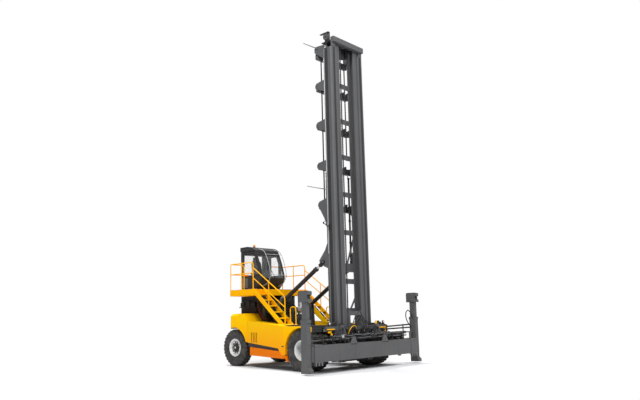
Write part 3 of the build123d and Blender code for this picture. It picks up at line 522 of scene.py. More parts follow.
class HANDLER_OT_finishes(bpy.types.Operator):
    """Makes the materials and gives each CAD node its finish"""
    bl_idname = "handler.finishes"
    bl_label = "Finishes"

    def execute(self, context):
        c = context.scene.handler_colours
        FINISHES.update({
            # The sixth number of yellow and orange is rise: painted light, paler toward the flank's top and a shaded,
            # more orange tone lower down.
            "yellow": paint("yellow_paint_worn", c.yellow, 0.36, 0.02, 0.03, 0.24),
            "orange": paint("orange_paint_worn", c.orange, 0.40, 0.02, 0.03, 0.05, (0.18, 0.18, 0.18)),
            "mast": paint("mast_grey_worn", c.mast, 0.46, 0.25),
            # A paler mast grey; on the uprights' web edge strips it is a painted highlight.
            "light": paint("edge_grey_worn", [1.5 * v for v in c.mast], 0.40, 0.2),
            # Painted shade: a much darker mast grey for sheets and blocks laid where hollows, gaps and the underside
            # lie in shade.
            "dark": paint("recess_grey_worn", [0.34 * v for v in c.mast], 0.6, 0.2),
            "copper": paint("pipe_primer_worn", (0.13, 0.028, 0.012), 0.5, 0.2),
            "frame": paint("frame_grey_worn", [0.6 * v for v in c.mast], 0.55, 0.6),
            "cab": paint("cab_grey_worn", c.cab, 0.38, 0.2),
            "black": paint("black_paint_worn", c.black, 0.42, 0.4),
            "rim": paint("rim_white_worn", c.rim, 0.36, 0.55),
            "rubber": rubber("tyre_rubber_dusty", c.rubber),
            "hose": plastic("hose_rubber", c.rubber, 0.5, 200.0),
            "chrome": metal("rod_chrome", (0.82, 0.83, 0.84), 0.10),
            "steel": metal("bare_steel", (0.45, 0.45, 0.44), 0.32),
            "silencer": metal("silencer_skin", (0.72, 0.71, 0.69), 0.30),
            "iron": paint("engine_iron_oily", (0.05, 0.05, 0.055), 0.55, 0.5),
            "plastic": plastic("dark_plastic_grain", (0.02, 0.02, 0.022), 0.55),
            "fabric": plastic("seat_cloth", (0.03, 0.03, 0.036), 0.85, 320.0),
            "glass": glazing("tinted_glass", (0.62, 0.64, 0.65), 0.07),
            "pale": paint("guard_grey_worn", (0.42, 0.43, 0.43), 0.4, 0.1),
            "mat": plastic("tread_mat", (0.035, 0.035, 0.034), 0.8, 60.0),
            "rubber_trim": plastic("gasket_rubber", (0.012, 0.012, 0.012), 0.6, 150.0),
            "chain": metal("chain_oiled", (0.045, 0.044, 0.042), 0.55, 0.3),
            "amber": lens("amber_lens", (0.95, 0.30, 0.01), 0.4),
            "white": lens("lamp_lens", (0.62, 0.64, 0.66), 0.05),
            "smoked": lens("head_lens", (0.10, 0.10, 0.11), 0.0),
            "red": lens("red_lens", (0.6, 0.012, 0.01), 0.1),
        })
        for part in frame["record"]["subparts"]:
            node = NODES[part["node"]]
            node.data.materials.clear()
            node.data.materials.append(FINISHES[CAD_FINISH[part["material_slot"]]])
        return {"FINISHED"}


# Wheels: lugged tyres, turned rims, hubs and nuts
TYRE_SIDE = [(0.306, -0.148), (0.345, -0.150), (0.352, -0.158), (0.360, -0.158), (0.366, -0.162), (0.430, -0.178),
             (0.500, -0.187), (0.560, -0.183), (0.566, -0.186), (0.574, -0.186), (0.580, -0.181), (0.636, -0.170),
             (0.652, -0.146), (0.664, -0.118), (0.664, -0.060), (0.664, -0.014), (0.664, -0.010)]
TYRE_R = 0.690
SHOULDER_R = 0.630
REAR_RIM = [(0.0706, 0.110), (0.0706, -0.02), (0.150, -0.02), (0.150, 0.058), (0.262, 0.060), (0.276, -0.158),
            (0.282, -0.165), (0.326, -0.165), (0.332, -0.160), (0.332, -0.1504), (0.3044, -0.1504),
            (0.3044, 0.1504), (0.332, 0.1504), (0.334, 0.156), (0.330, 0.163), (0.322, 0.165), (0.314, 0.162),
            (0.308, 0.152), (0.290, 0.150), (0.284, 0.142), (0.280, 0.100), (0.268, 0.086), (0.236, 0.085),
            (0.228, 0.092), (0.0706, 0.092)]
REAR_HUB = [(0.0, 0.150), (0.070, 0.150), (0.084, 0.144), (0.090, 0.132), (0.092, 0.120), (0.126, 0.116),
            (0.132, 0.110), (0.132, 0.1), (0.150, 0.098), (0.152, 0.0922)]
FRONT_RIM = [(0.1108, 0.06), (0.1108, -0.06), (0.190, -0.06), (0.190, -0.02), (0.262, -0.02), (0.272, -0.374),
             (0.280, -0.380), (0.328, -0.380), (0.332, -0.3654), (0.3044, -0.3654), (0.3044, -0.062),
             (0.290, -0.050), (0.290, 0.050), (0.3044, 0.062), (0.3044, 0.3654), (0.332, 0.3654), (0.334, 0.371),
             (0.330, 0.378), (0.322, 0.380), (0.314, 0.377), (0.308, 0.367), (0.292, 0.365), (0.284, 0.352),
             (0.280, 0.20), (0.272, 0.17), (0.268, 0.04), (0.256, 0.022), (0.236, 0.02), (0.228, 0.028),
             (0.1108, 0.028)]
FRONT_HUB = [(0.0, 0.150), (0.060, 0.150), (0.066, 0.142), (0.120, 0.138), (0.158, 0.130), (0.170, 0.112),
             (0.172, 0.060), (0.190, 0.056), (0.222, 0.052), (0.226, 0.046), (0.226, 0.028)]


def tyre_surface(centre):
    """A lugged tyre: radius and offset follow the cross-section, and the lug wave lifts the crown.

    Round the wheel, t runs over one lug from -0.5 to 0.5 and the lug stands where |t| is under 0.27, its edges ramped
    to 0.30. Across the wheel the lift fades at the shoulders."""
    side = np.array(TYRE_SIDE)
    section = np.concatenate([side, side[::-1] * (1, -1)])
    lift = np.clip((section[:, 0] - SHOULDER_R) / 0.020, 0, 1)
    groove = np.where(np.abs(section[:, 1]) < 0.012, 0.45, 1.0)
    t = np.array([-0.5, -0.43, -0.35, -0.30, -0.27, -0.24, -0.12, 0.0, 0.12, 0.24, 0.27, 0.30, 0.35, 0.43])
    lug = np.clip((0.30 - np.abs(t)) / 0.03, 0, 1)
    angle = (np.arange(LUGS)[:, None] + t[None, :]).ravel() * 2 * np.pi / LUGS - np.pi / 2
    wave = np.tile(lug, LUGS)
    crown = (TYRE_R - section[:, 0]) * lift * groove
    radius = section[:, 0, None] + np.where(section[:, 0, None] > SHOULDER_R, crown[:, None] * wave[None, :], 0.0)
    x = radius * np.cos(angle)[None, :]
    z = radius * np.sin(angle)[None, :]
    y = np.repeat(section[:, 1, None], len(angle), 1)
    points = np.stack([x, y, z], axis=-1) + np.asarray(centre)
    return points.reshape(-1, 3), grid_faces(len(section), len(angle), wrap_cols=True)[:, ::-1]


def wheel_nuts(centre, side, pitch, count, radius, height):
    """Nuts round a pitch circle, facing outwards."""
    a = np.linspace(0, 2 * np.pi, count, endpoint=False) + np.pi / count
    ring = np.stack([pitch * np.cos(a), np.zeros(count), pitch * np.sin(a)], axis=-1) + np.asarray(centre)
    return hexes(ring, (0, side, 0), radius, height)


def spokes(centre, side, count, inner, outer, width, height):
    """Raised bars that run out from a hub: one chamfered box turned count times about the wheel's axis."""
    points, quads = cuboid((inner, 0, -width / 2), (outer, side * height, width / 2), 0.004)
    parts = []
    for a in np.arange(count) * 2 * np.pi / count:
        turn = np.array([[math.cos(a), 0, -math.sin(a)], [0, 1, 0], [math.sin(a), 0, math.cos(a)]])
        parts.append((points @ turn.T + np.asarray(centre), quads))
    return joined(parts)


def turned(profile, centre, side, steps=96):
    """A lathe profile whose y runs outwards on either side of the machine."""
    points, quads = sided(lathe(profile, (0, 0, 0), steps), side)
    return points + np.asarray(centre), quads


class HANDLER_OT_tyres(bpy.types.Operator):
    """Builds the six tyres"""
    bl_idname = "handler.tyres"
    bl_label = "Tyres"

    def execute(self, context):
        for side, s in SIDES:
            rear = tyre_surface((STEER_X, s * REAR_Y, AXLE_Z))
            make(f"rear_tyre_{side}", rear, "rubber", f"wheel_rear_{side}", replaces=[f"tyre_rear_{side}"])
            twin = [tyre_surface((DRIVE_X, s * (TWIN_Y + k * TWIN_HALF), AXLE_Z)) for k in (-1, 1)]
            make(f"front_tyres_{side}", joined(twin), "rubber", f"wheels_front_{side}",
                 replaces=[f"tyres_front_{side}"])
        return {"FINISHED"}


class HANDLER_OT_rims(bpy.types.Operator):
    """Builds the rims, hubs and nuts"""
    bl_idname = "handler.rims"
    bl_label = "Rims"

    def execute(self, context):
        nut = context.scene.handler_sizes.nut
        for side, s in SIDES:
            out = np.array((0.0, s, 0.0))
            body = f"wheel_rear_{side}"
            mid = np.array((STEER_X, s * REAR_Y, AXLE_Z))
            make(f"rear_rim_{side}", turned(REAR_RIM, mid, s), "rim", body, replaces=[f"rim_rear_{side}"])
            parts = [turned(REAR_HUB, mid, s), wheel_nuts(mid + 0.1 * out, s, 0.178, 10, nut, 0.034),
                     wheel_nuts(mid + 0.115 * out, s, 0.108, 8, 0.009, 0.010),
                     spokes(mid + 0.0925 * out, s, 10, 0.130, 0.245, 0.030, 0.012)]
            make(f"rear_hub_{side}", joined(parts), "black", body)
            cap = turned([(0.0, 0.158), (0.030, 0.157), (0.036, 0.150)], mid, s, 40)
            make(f"rear_cap_{side}", cap, "rim", body)
            body = f"wheels_front_{side}"
            mid = np.array((DRIVE_X, s * TWIN_Y, AXLE_Z))
            make(f"front_rim_{side}", turned(FRONT_RIM, mid, s), "rim", body, replaces=[f"rim_front_{side}"])
            parts = [turned(FRONT_HUB, mid, s), wheel_nuts(mid + 0.05 * out, s, 0.206, 16, nut * 0.9, 0.032),
                     wheel_nuts(mid + 0.132 * out, s, 0.142, 12, 0.010, 0.012)]
            make(f"front_hub_{side}", joined(parts), "black", body)
        return {"FINISHED"}


# Chassis: rails, flank trim, deck and stairs
DECK_Z = 2.870
RAIL_Y = 1.405
PLATE_Y = 1.4205
GRATE_Z = 2.8695


def body_top(x):
    """Height of the side body's sloping top at x from the drive axle."""
    return 1.690 + (x + 3.480) / 2.680 * (1.490 - 1.690)


STAIR_HEAD = -3.020
STAIR_RUN = 1.570
STAIR_DROP = DECK_Z - body_top(-1.450)


def stair_top(x):
    """Height of the stringer's upper edge at x from the drive axle."""
    return DECK_Z - STAIR_DROP / STAIR_RUN * (x - STAIR_HEAD)


def flank_y(x):
    """Half width of the flared side body at x from the drive axle."""
    return np.interp(x, [-3.480, -0.900, -0.800], [1.390, 2.030, 2.045])


def flank_patches(rows, deep, proud):
    """Thin plates that follow the flared flank: each spans x and z, from deep inside to proud of the surface."""
    parts = []
    for x0, x1, z0, z1 in rows:
        x = np.array([x0, x1, x1, x0])
        z = np.array([z0, z0, z1, z1])
        inner = np.stack([DRIVE_X + x, flank_y(x) - deep, z], axis=-1)
        outer = np.stack([DRIVE_X + x, flank_y(x) + proud, z], axis=-1)
        parts.append((np.concatenate([outer, inner]), PRISM[:, ::-1]))
    return joined(parts)


def grating(x0, x1, y0, y1, bars, ties):
    """Rows of a deck grating: bars along x at the given y, and thinner ties across them at the given x."""
    rows = [(x0, x1, y, y + 0.008, GRATE_Z, 2.882) for y in bars]
    return rows + [(x, x + 0.006, y0, y1, GRATE_Z, 2.879) for x in ties]


class HANDLER_OT_rails(bpy.types.Operator):
    """Builds the deck and stair handrails and the grab hoops"""
    bl_idname = "handler.rails"
    bl_label = "Handrails"

    def execute(self, context):
        r = context.scene.handler_sizes.rail
        top, knee, start, hoop = 3.880, 3.480, 3.670, 2.150
        back, post, front, middle, foot = -4.430, -3.770, -3.110, -2.252, -1.410
        grab_back, grab_front = -1.570, -1.290
        y, inner, grab = RAIL_Y, 0.720, 0.975
        slope = (body_top(-1.400) + 0.180 - DECK_Z) / (-1.400 - front)
        fall = slope * (foot - front)
        paths = [
            [(back, inner, DECK_Z), (back, inner, top), (back, y, top), (front, y, top), (front, y, DECK_Z)],
            [(front, y, start), (foot, y, start + fall), (foot, y, body_top(foot) + 0.002)],
            [(grab_back, grab, stair_top(grab_back) - 0.01), (grab_back, grab, hoop), (grab_front, grab, hoop),
             (grab_front, grab, body_top(grab_front) + 0.002)],
        ]
        lines = [
            [(back, inner, knee), (back, y, knee), (front, y, knee)],
            [(front, y, start - 0.38), (foot, y, start - 0.38 + fall)],
            [(back, y, DECK_Z), (back, y, top)], [(post, y, DECK_Z), (post, y, top)],
            [(middle, y, stair_top(middle) - 0.01), (middle, y, start + slope * (middle - front))],
        ]
        feet = [(back, y, DECK_Z), (back, inner, DECK_Z), (post, y, DECK_Z), (front, y, DECK_Z),
                (foot, y, body_top(foot)), (grab_front, grab, body_top(grab_front))]
        rows = [(x - 0.042, x + 0.042, v - 0.028, v + 0.014, z - 0.004, z + 0.012) for x, v, z in feet]
        bolts = [(x + d, v - 0.007, z + 0.011) for x, v, z in feet for d in (-0.031, 0.031)]
        parts = [pipes(paths, r, 0.11, 12), pipes(lines, 0.9 * r, 0.08, 12), boxes(rows),
                 heads(bolts, UP, 0.008, 0.007)]
        make("handrail_tubes", pair(joined(parts)), "yellow", replaces=["handrails"])
        return {"FINISHED"}


class HANDLER_OT_body(bpy.types.Operator):
    """Adds louvre blades with black plates of painted shade behind them, a black slot strip of painted shade, mats,
    bolts, lenses, lamp hoods, the tow jaw and radiator bars to the chassis
    """
    bl_idname = "handler.body"
    bl_label = "Body trim"

    def execute(self, context):
        bolt = context.scene.handler_sizes.bolt
        slots = [-3.180 + 0.130 * k for k in range(4)]
        # Painted shade: black plates inside the louvre openings and a black strip for the slot stand for the shade in
        # them.
        shade_backs = flank_patches([(x + 0.001, x + 0.069, 0.901, 1.269) for x in slots], 0.0215, -0.017)
        slot = flank_patches([(-0.990, -0.830, 0.795, 0.830)], 0.006, 0.004)
        make("flank_dark", pair(joined([shade_backs, slot])), "black", smooth=False)
        blades = [(x + 0.001, x + 0.069, z, z + 0.008) for x in slots for z in np.arange(0.925, 1.26, 0.046)]
        make("louvre_blades", pair(flank_patches(blades, 0.0165, -0.003)), "yellow", smooth=False)
        step = body_top(-1.16)
        rows = [(-1.16, -0.82, 1.03, 1.78, step - 0.002, step + 0.005), (-0.775, -0.19, 0.985, 2.005, 1.482, 1.490),
                (-0.17, 0.43, 0.985, 2.005, 1.482, 1.490), (0.447, 0.456, 0.985, 2.005, 1.27, 1.466)]
        rows += [(x, x + 0.02, 1.00, 1.99, 1.488, 1.494) for x in np.arange(-0.76, 0.40, 0.045)]
        make("tread_mats", pair(boxes(rows, 0.003)), "mat")
        parts = [heads([(x, y, 1.492) for x in (-0.60, -0.20, 0.24) for y in (1.08, 1.80)], UP, 0.6 * bolt, 0.008)]
        skirt = [(x, flank_y(x) - 0.012, 0.46 + 0.02 * (x + 1)) for x in np.linspace(-3.2, -1.0, 8)]
        parts.append(heads(skirt, (-0.24, 0.97, 0), 0.7 * bolt, 0.010))
        parts.append(heads([(-0.778, y, 0.50) for y in np.linspace(1.34, 2.02, 6)], AHEAD, 0.6 * bolt, 0.008))
        make("body_bolts", pair(joined(parts)), "steel")
        make("tail_lenses", pair(boxes([(-5.122, -5.107, 0.306, 0.494, 1.506, 1.614)])), "red")
        hoods = boxes([(0.448, 0.518, 1.31, 1.51, 1.405, 1.415), (0.448, 0.514, 1.31, 1.319, 1.27, 1.41),
                       (0.448, 0.514, 1.501, 1.51, 1.27, 1.41)], 0.002)
        make("lamp_hoods", pair(hoods), "black")
        rows = [(0.498, 0.503, 1.337 + 0.0255 * k, 1.341 + 0.0255 * k, 1.292, 1.388) for k in range(6)]
        make("lamp_ribs", pair(boxes(rows, 0.001)), "white")
        jaw = boxes([(-5.115, -5.00, -0.12, 0.12, 0.86, 0.90), (-5.115, -5.00, -0.12, 0.12, 1.02, 1.06),
                     (-5.03, -4.998, -0.12, 0.12, 0.86, 1.06)], 0.01)
        pin = pipes([[(-5.075, 0, 0.83), (-5.075, 0, 1.12)]], 0.024)
        make("tow_jaw", joined([jaw, pin]), "frame")
        rows = [(-3.045, -3.030, -0.565, 0.565, z + 0.024, z + 0.034) for z in 1.450 + 0.105 * np.arange(9)]
        make("radiator_bars", boxes(rows, 0.002), "steel")
        return {"FINISHED"}


class HANDLER_OT_deck(bpy.types.Operator):
    """Lays the deck grating, dresses the stair treads and lays black plates of painted shade under them"""
    bl_idname = "handler.deck"
    bl_label = "Deck and stairs"

    def execute(self, context):
        beside = grating(-4.43, -3.13, 0.69, 1.372, np.arange(0.70, 1.37, 0.036), np.arange(-4.40, -3.13, 0.10))
        ahead = grating(-3.80, -3.13, -0.66, 0.66, np.arange(-0.65, 0.66, 0.036), np.arange(-3.75, -3.13, 0.10))
        part = joined([pair(boxes(beside, 0.002)), boxes(ahead, 0.002)])
        make("deck_grating", part, "steel", smooth=False)
        treads = []
        noses = []
        bolts = []
        for k in range(1, 6):
            x = STAIR_HEAD + STAIR_RUN * (k - 0.75) / 5.4
            z = DECK_Z - STAIR_DROP * k / 5.9
            bars = x - 0.095 + 0.035 * np.arange(6)
            treads += [(bar, bar + 0.010, 0.967, 1.388, z + 0.0345, z + 0.043) for bar in bars]
            noses.append((x + 0.108, x + 0.129, 0.966, 1.389, z + 0.004, z + 0.045))
            bolts += [(x + d, PLATE_Y, z + 0.018) for d in (-0.06, 0.06)]
        make("tread_bars", pair(boxes(treads, 0.002)), "steel", smooth=False)
        make("tread_noses", pair(boxes(noses)), "yellow")
        edge = [(x, PLATE_Y, z) for x in (-4.35, -3.9, -3.45) for z in (2.69, 2.82)]
        make("deck_bolts", pair(joined([heads(bolts, OUT, 0.011, 0.008), heads(edge, OUT, 0.012, 0.009)])), "steel")
        bearers = boxes([(x, x + 0.06, 0.83, 1.388, 2.66, 2.838) for x in (-4.10, -3.45)])
        make("deck_bearers", pair(bearers), "yellow")
        # Painted shade: black plates beneath the treads stand for the shade under the stairs.
        low = stair_top(-1.80) - 0.215
        shade_backs = plates([[(-3.085, 2.60), (-3.085, 2.62), (-1.80, low), (-1.80, low - 0.020)]], 0.965, 1.388)
        make("stair_backs", pair(shade_backs), "black", smooth=False)
        return {"FINISHED"}


# Cab: gaskets round the panes, guard, beacon and the driver's place
def cab_line(points):
    """Outline points given ahead of the cab's rear wall and above its floor, in millimetres."""
    return [(-4.700 + x / 1000, 2.920 + z / 1000) for x, z in points]


CAB_WINDOW = cab_line([(160, 530), (1100, 530), (980, 980), (840, 1320), (810, 1400), (160, 1400)])
CAB_DOOR_PANE = cab_line([(390, 540), (860, 540), (860, 1025), (755, 1280), (740, 1325), (390, 1325)])
CAB_QUARTER = cab_line([(1000, 540), (1110, 540), (1090, 640), (1000, 940)])
CAB_SCREEN = cab_line([(1200, 410), (1170, 590), (1050, 1010), (910, 1350)])
CAB_GUARD = cab_line([(1008.7, 107.3), (1290, 190), (1480, 420), (1490, 640), (1370, 1070), (1140, 1470),
                      (796.4, 1593.8)])
SCREEN_Y = 0.594
GUARD_Y = 0.43
BEACON_AT = (-4.250, -0.330, 4.618)
STEERING_AT = (-3.955, 3.60)
STEERING_LEAN = math.radians(35)


def across(y, places):
    """Straight paths from one side to the other at the given places in X-Z."""
    return [[(x, -y, z), (x, y, z)] for x, z in places]


def steering_point(reach, turn):
    """A point of the steering wheel's tilted plane, reach from its middle."""
    rise = reach * math.cos(turn)
    return (STEERING_AT[0] - rise * math.cos(STEERING_LEAN), reach * math.sin(turn),
            STEERING_AT[1] + rise * math.sin(STEERING_LEAN))


class HANDLER_OT_cab(bpy.types.Operator):
    """Adds gaskets, wiper, guard, beacon, panel, strip, handle and the driver's controls"""
    bl_idname = "handler.cab"
    bl_label = "Cab"

    def execute(self, context):
        self.seal_panes()
        self.dress_shell()
        self.furnish()
        return {"FINISHED"}

    def seal_panes(self):
        """Rubber round every pane, and the wiper."""
        gaskets = [edging(CAB_WINDOW, -0.653, 0.036, 0.024), edging(CAB_QUARTER, 0.653, 0.022, 0.024, -1)]
        rear = [(-0.52, 0.52, 4.305, 4.335), (-0.52, 0.52, 3.435, 3.465), (-0.52, -0.488, 3.45, 4.32),
                (0.488, 0.52, 3.45, 4.32)]
        gaskets.append(boxes([(-4.704, -4.676, *row) for row in rear]))
        gaskets.append(pipes(across(SCREEN_Y, [(-3.498, 3.328), (-3.788, 4.272)]), 0.016))
        gaskets += [tube([at(x + 0.004, y, z) for x, z in CAB_SCREEN], 0.016, 8) for y in (-SCREEN_Y, SCREEN_Y)]
        make("cab_gaskets", joined(gaskets), "rubber_trim")
        make("door_gasket", edging(CAB_DOOR_PANE, 0.648, 0.034, 0.030, -1), "rubber_trim", "cab_door")
        arm = pipes([[(-3.492, 0.10, 3.345), (-3.505, 0.02, 3.50), (-3.60, -0.20, 3.86)]], 0.009, 0.05)
        blade = pipes([[(-3.545, -0.245, 3.64), (-3.605, -0.20, 3.86), (-3.68, -0.155, 4.06)]], 0.010, 0.05)
        boss = lathe([(0, 0.02), (0.03, 0.02), (0.034, 0.012), (0.034, -0.02), (0, -0.02)], at(-3.50, 0.10, 3.34), 20,
                     "x")
        make("wiper", joined([arm, blade, boss]), "plastic")

    def dress_shell(self):
        """Guard tubes, kick plate, beacon, strip, panel, door handle and seams."""
        guard = flows([[(x, y, z) for x, z in CAB_GUARD] for y in (-GUARD_Y, GUARD_Y)], 0.013, 12)
        ties = pipes(across(GUARD_Y, [(-3.222, 3.45), (-3.50, 4.28)]), 0.010)
        make("guard_tubes", joined([guard, ties]), "pale", replaces=["cab_guard"])
        kick = plates([cab_line([(1079, 190), (1083, 190), (1181, 368), (1177, 368)])], -0.559, 0.559)
        make("kick_plate", kick, "plastic", smooth=False)
        stand = lathe([(0.0, 0.0), (0.052, 0.0), (0.055, 0.006), (0.050, 0.028), (0.040, 0.030), (0.0, 0.030)],
                      at(*BEACON_AT), 36, "z")
        make("beacon_stand", stand, "black")
        dome = lathe([(0.040, 0.028), (0.040, 0.085), (0.034, 0.102), (0.018, 0.112), (0.0, 0.114)],
                     at(*BEACON_AT), 36, "z")
        make("beacon_dome", dome, "amber", replaces=["beacon"])
        make("cab_strip", boxes([(-4.53, -4.22, -0.6790, -0.6700, 3.440, 3.500)], 0.002), "orange")
        make("wall_panel", boxes([(-4.62, -4.29, -0.6540, -0.6495, 2.98, 3.37)], 0.002), "light")
        grip = [(-3.835, 0.650, 3.42), (-3.835, 0.690, 3.44), (-3.835, 0.690, 3.60), (-3.835, 0.650, 3.62)]
        make("door_handle", pipes([grip], 0.010, 0.03), "plastic", "cab_door")
        seams = boxes([(-4.66, -3.92, -0.6515, -0.648, 3.383, 3.387), (-4.69, -3.90, -0.6615, -0.658, 4.402, 4.412),
                       (-4.69, -3.90, 0.658, 0.6615, 4.402, 4.412)], 0.001)
        make("cab_seams", seams, "rubber_trim", smooth=False)

    def furnish(self):
        """Steering wheel, armrests, levers and display."""
        wheel = [tube([at(*steering_point(0.19, a)) for a in np.linspace(0, 2 * np.pi, 33)], 0.014, 10)]
        wheel += [pipes([[(-3.955, 0, 3.598), steering_point(0.18, t)]], 0.010) for t in (0.5, 2.6, 4.7)]
        wheel.append(pipes([[(-3.955, 0, 3.61), (-3.90, 0, 3.50)]], 0.028))
        make("steering_wheel", joined(wheel), "plastic")
        arms = boxes([(-4.44, -4.02, s * 0.29, s * 0.38, 3.52, 3.58) for s in (1, -1)], 0.016)
        stalks = pipes([[(x, -0.335, 3.57), (x + 0.01, -0.335, 3.70)] for x in (-4.06, -4.00)], 0.009)
        feet = pipes([[(-4.36, s * 0.335, 3.53), (-4.36, s * 0.30, 3.30), (-4.36, s * 0.26, 3.22)] for s in (1, -1)],
                     0.02)
        display = boxes([(-3.93, -3.90, -0.48, -0.26, 3.62, 3.80)], 0.006)
        mount = pipes([[(-3.915, -0.37, 3.64), (-3.905, -0.37, 3.36), (-3.88, -0.10, 3.30)]], 0.012)
        make("driver_controls", joined([arms, stalks, feet, display, mount]), "plastic")


def cushion(centre, half, lean=0.0):
    """A stuffed pad: a superellipsoid with exponent 0.38, its sides drawn in between the corners by 4 per cent and
    its height sheared back by lean."""
    u = np.linspace(-np.pi / 2, np.pi / 2, 29)[:, None]
    v = np.linspace(0, 2 * np.pi, 56, endpoint=False)[None, :]

    def bulge(t):
        return np.sign(t) * np.abs(t) ** 0.38
    x = bulge(np.cos(u)) * bulge(np.cos(v))
    y = bulge(np.cos(u)) * bulge(np.sin(v))
    z = bulge(np.sin(u)) * np.ones_like(v)
    x, y = x * (1 - 0.04 * (1 - y ** 2)), y * (1 - 0.04 * (1 - x ** 2))
    crown = z * (1 + 0.10 * (1 - x ** 2) * (1 - y ** 2))
    points = np.stack([x * half[0] + lean * z * half[2], y * half[1], crown * half[2]], axis=-1)
    return points.reshape(-1, 3) + np.asarray(centre), grid_faces(29, 56, wrap_cols=True)


class HANDLER_OT_seat(bpy.types.Operator):
    """Builds the driver's seat: base with bellows, back shell, pads and headrest"""
    bl_idname = "handler.seat"
    bl_label = "Seat"

    def execute(self, context):
        base = boxes([(-4.47, -4.03, -0.24, 0.24, 2.922, 2.96), (-4.42, -4.08, -0.20, 0.20, 2.95, 3.16),
                      (-4.49, -4.01, -0.262, 0.262, 3.15, 3.20)], 0.012)
        folds = boxes([(-4.43, -4.07, -0.21, 0.21, z, z + 0.018) for z in np.arange(2.98, 3.14, 0.034)], 0.008)
        shell = boxes([(-4.545, -4.52, -0.20, 0.20, 3.55, 4.02)], 0.010)
        make("seat_base", joined([base, folds, shell]), "plastic", replaces=["seat"])
        pads = [("seat_pad", (-4.25, 0, 3.285), (0.245, 0.265, 0.090), 0.0),
                ("back_pad", (-4.465, 0, 3.735), (0.062, 0.245, 0.345), -0.16),
                ("head_pad", (-4.535, 0, 4.155), (0.045, 0.135, 0.085), -0.1)]
        for name, centre, half, lean in pads:
            piece = make(name, cushion(at(*centre), half, lean), "fabric")
        return {"FINISHED"}


class HANDLER_OT_engine(bpy.types.Operator):
    """Adds pipes, hoses, filters and boxes round the engine and under the deck"""
    bl_idname = "handler.engine"
    bl_label = "Engine bay"

    def execute(self, context):
        hoses = [[(-3.02, -0.45, 2.20), (-2.95, -0.45, 2.20), (-2.80, -0.40, 2.05), (-2.70, -0.32, 1.90)],
                 [(-3.02, 0.45, 2.20), (-2.92, 0.45, 2.18), (-2.82, 0.42, 2.0), (-2.75, 0.36, 1.89)],
                 [(-3.02, 0.40, 1.45), (-2.99, 0.46, 1.42), (-2.90, 0.50, 1.42), (-2.80, 0.44, 1.42)]]
        make("coolant_hoses", flows(hoses, 0.036, 14), "hose")
        intake = [(-2.62, -0.35, 2.43), (-2.72, -0.35, 2.43), (-2.80, -0.30, 2.30), (-2.80, -0.22, 2.02),
                  (-2.80, -0.22, 1.89)]
        make("intake_pipe", flows([intake], 0.060, 18), "plastic")
        band = [(0.150, -0.012), (0.154, -0.012), (0.154, 0.012), (0.150, 0.012)]
        bands = [lathe(band, at(x, -0.350, 2.430), 56, "x") for x in (-2.56, -2.44, -2.34)]
        make("filter_bands", joined(bands), "steel")
        dome = lathe([(0.152, 0.0), (0.150, 0.02), (0.12, 0.05), (0.07, 0.062), (0.0, 0.064)],
                     at(-2.262, -0.350, 2.430), 56, "x")
        make("filter_lid", dome, "plastic")
        trim = [lathe([(0.055, 0.0), (0.058, 0.004), (0.058, 0.05), (0.050, 0.052), (0.047, 0.01), (0.0, 0.008)],
                      at(-2.320, 0.250, 2.520), 36, "z")]
        for y in (0.13, 0.35):
            wrap = [(0.110, y), (0.114, y), (0.114, y + 0.02), (0.110, y + 0.02)]
            trim.append(lathe(wrap, at(-2.320, 0, 2.060), 44))
        make("exhaust_trim", joined(trim), "silencer")
        feeds = []
        drops = []
        hoses = []
        for s in (1, -1):
            for k in range(2):
                y = s * (0.60 + 0.05 * k)
                feeds.append([(-2.05, y, 1.262), (-2.05, y, 1.34 + 0.02 * k), (-2.25, s * (0.66 + 0.03 * k), 1.62),
                              (-2.26, s * (0.735 - 0.01 * k), 2.05), (-2.27, s * 0.748, 2.15 - 0.04 * k)])
            for k in range(3):
                drops.append([(-3.70 + 0.05 * k, s * (0.66 + 0.03 * k), 2.50),
                              (-3.62 + 0.05 * k, s * (0.74 + 0.02 * k), 2.25), (-3.42 + 0.04 * k, s * 0.80, 1.96),
                              (-3.22 + 0.05 * k, s * 0.86, 1.80), (-2.98 + 0.04 * k, s * 0.88, 1.735)])
                hoses.append([(-3.68, s * 0.70, 2.58), (-3.50, s * 0.78, 2.40 - 0.10 * k),
                              (-3.20, s * 0.80, 2.30 - 0.12 * k), (-2.90, s * 0.66, 2.12 - 0.10 * k),
                              (-2.70, s * 0.45, 1.95 - 0.10 * k)])
        make("tilt_feeds", flows(feeds, 0.014), "hose")
        rows = [(-3.735, -3.425, -0.62, 0.62, 1.72, 2.60), (-3.62, -3.54, -0.08, 0.08, 2.59, 2.63)]
        rows += [(-4.672, -3.700, s * 0.678, s * 0.790, 2.195, 2.225) for s in (1, -1)]
        for s in (1, -1):
            for k in range(3):
                x = -4.60 + 0.30 * k
                rows.append((x, x + 0.24, s * 0.682, s * 0.775, 2.222, 2.40 + 0.05 * (k % 2)))
        make("bay_boxes", boxes(rows, 0.012), "black")
        make("bay_pipes", flows(drops, 0.016), "copper")
        make("bay_hoses", flows(hoses, 0.022), "hose")
        return {"FINISHED"}


# Cylinders
TILT_BASE = np.array((-2.300, 0.0, 2.233))
TILT_EYE = np.array((0.020, 0.0, 3.680))
TILT_Y = 0.840
TILT_REACH = float(np.linalg.norm(TILT_EYE - TILT_BASE))
TILT_AHEAD = (TILT_EYE - TILT_BASE) / TILT_REACH
LIFT_AT = (0.185, 0.700)
BARREL_R = 0.0745


def swung(part):
    """A part drawn along X from the tilt cylinder's base pin, turned up to its eye: base + x a + y j + z (a x j)."""
    points, quads = part
    p = np.asarray(points, float)
    up = np.cross(TILT_AHEAD, OUT)
    base = np.array(at(*TILT_BASE)) + (0, TILT_Y, 0)
    return base + p[:, :1] * TILT_AHEAD + p[:, 1:2] * np.array(OUT) + p[:, 2:] * up, quads


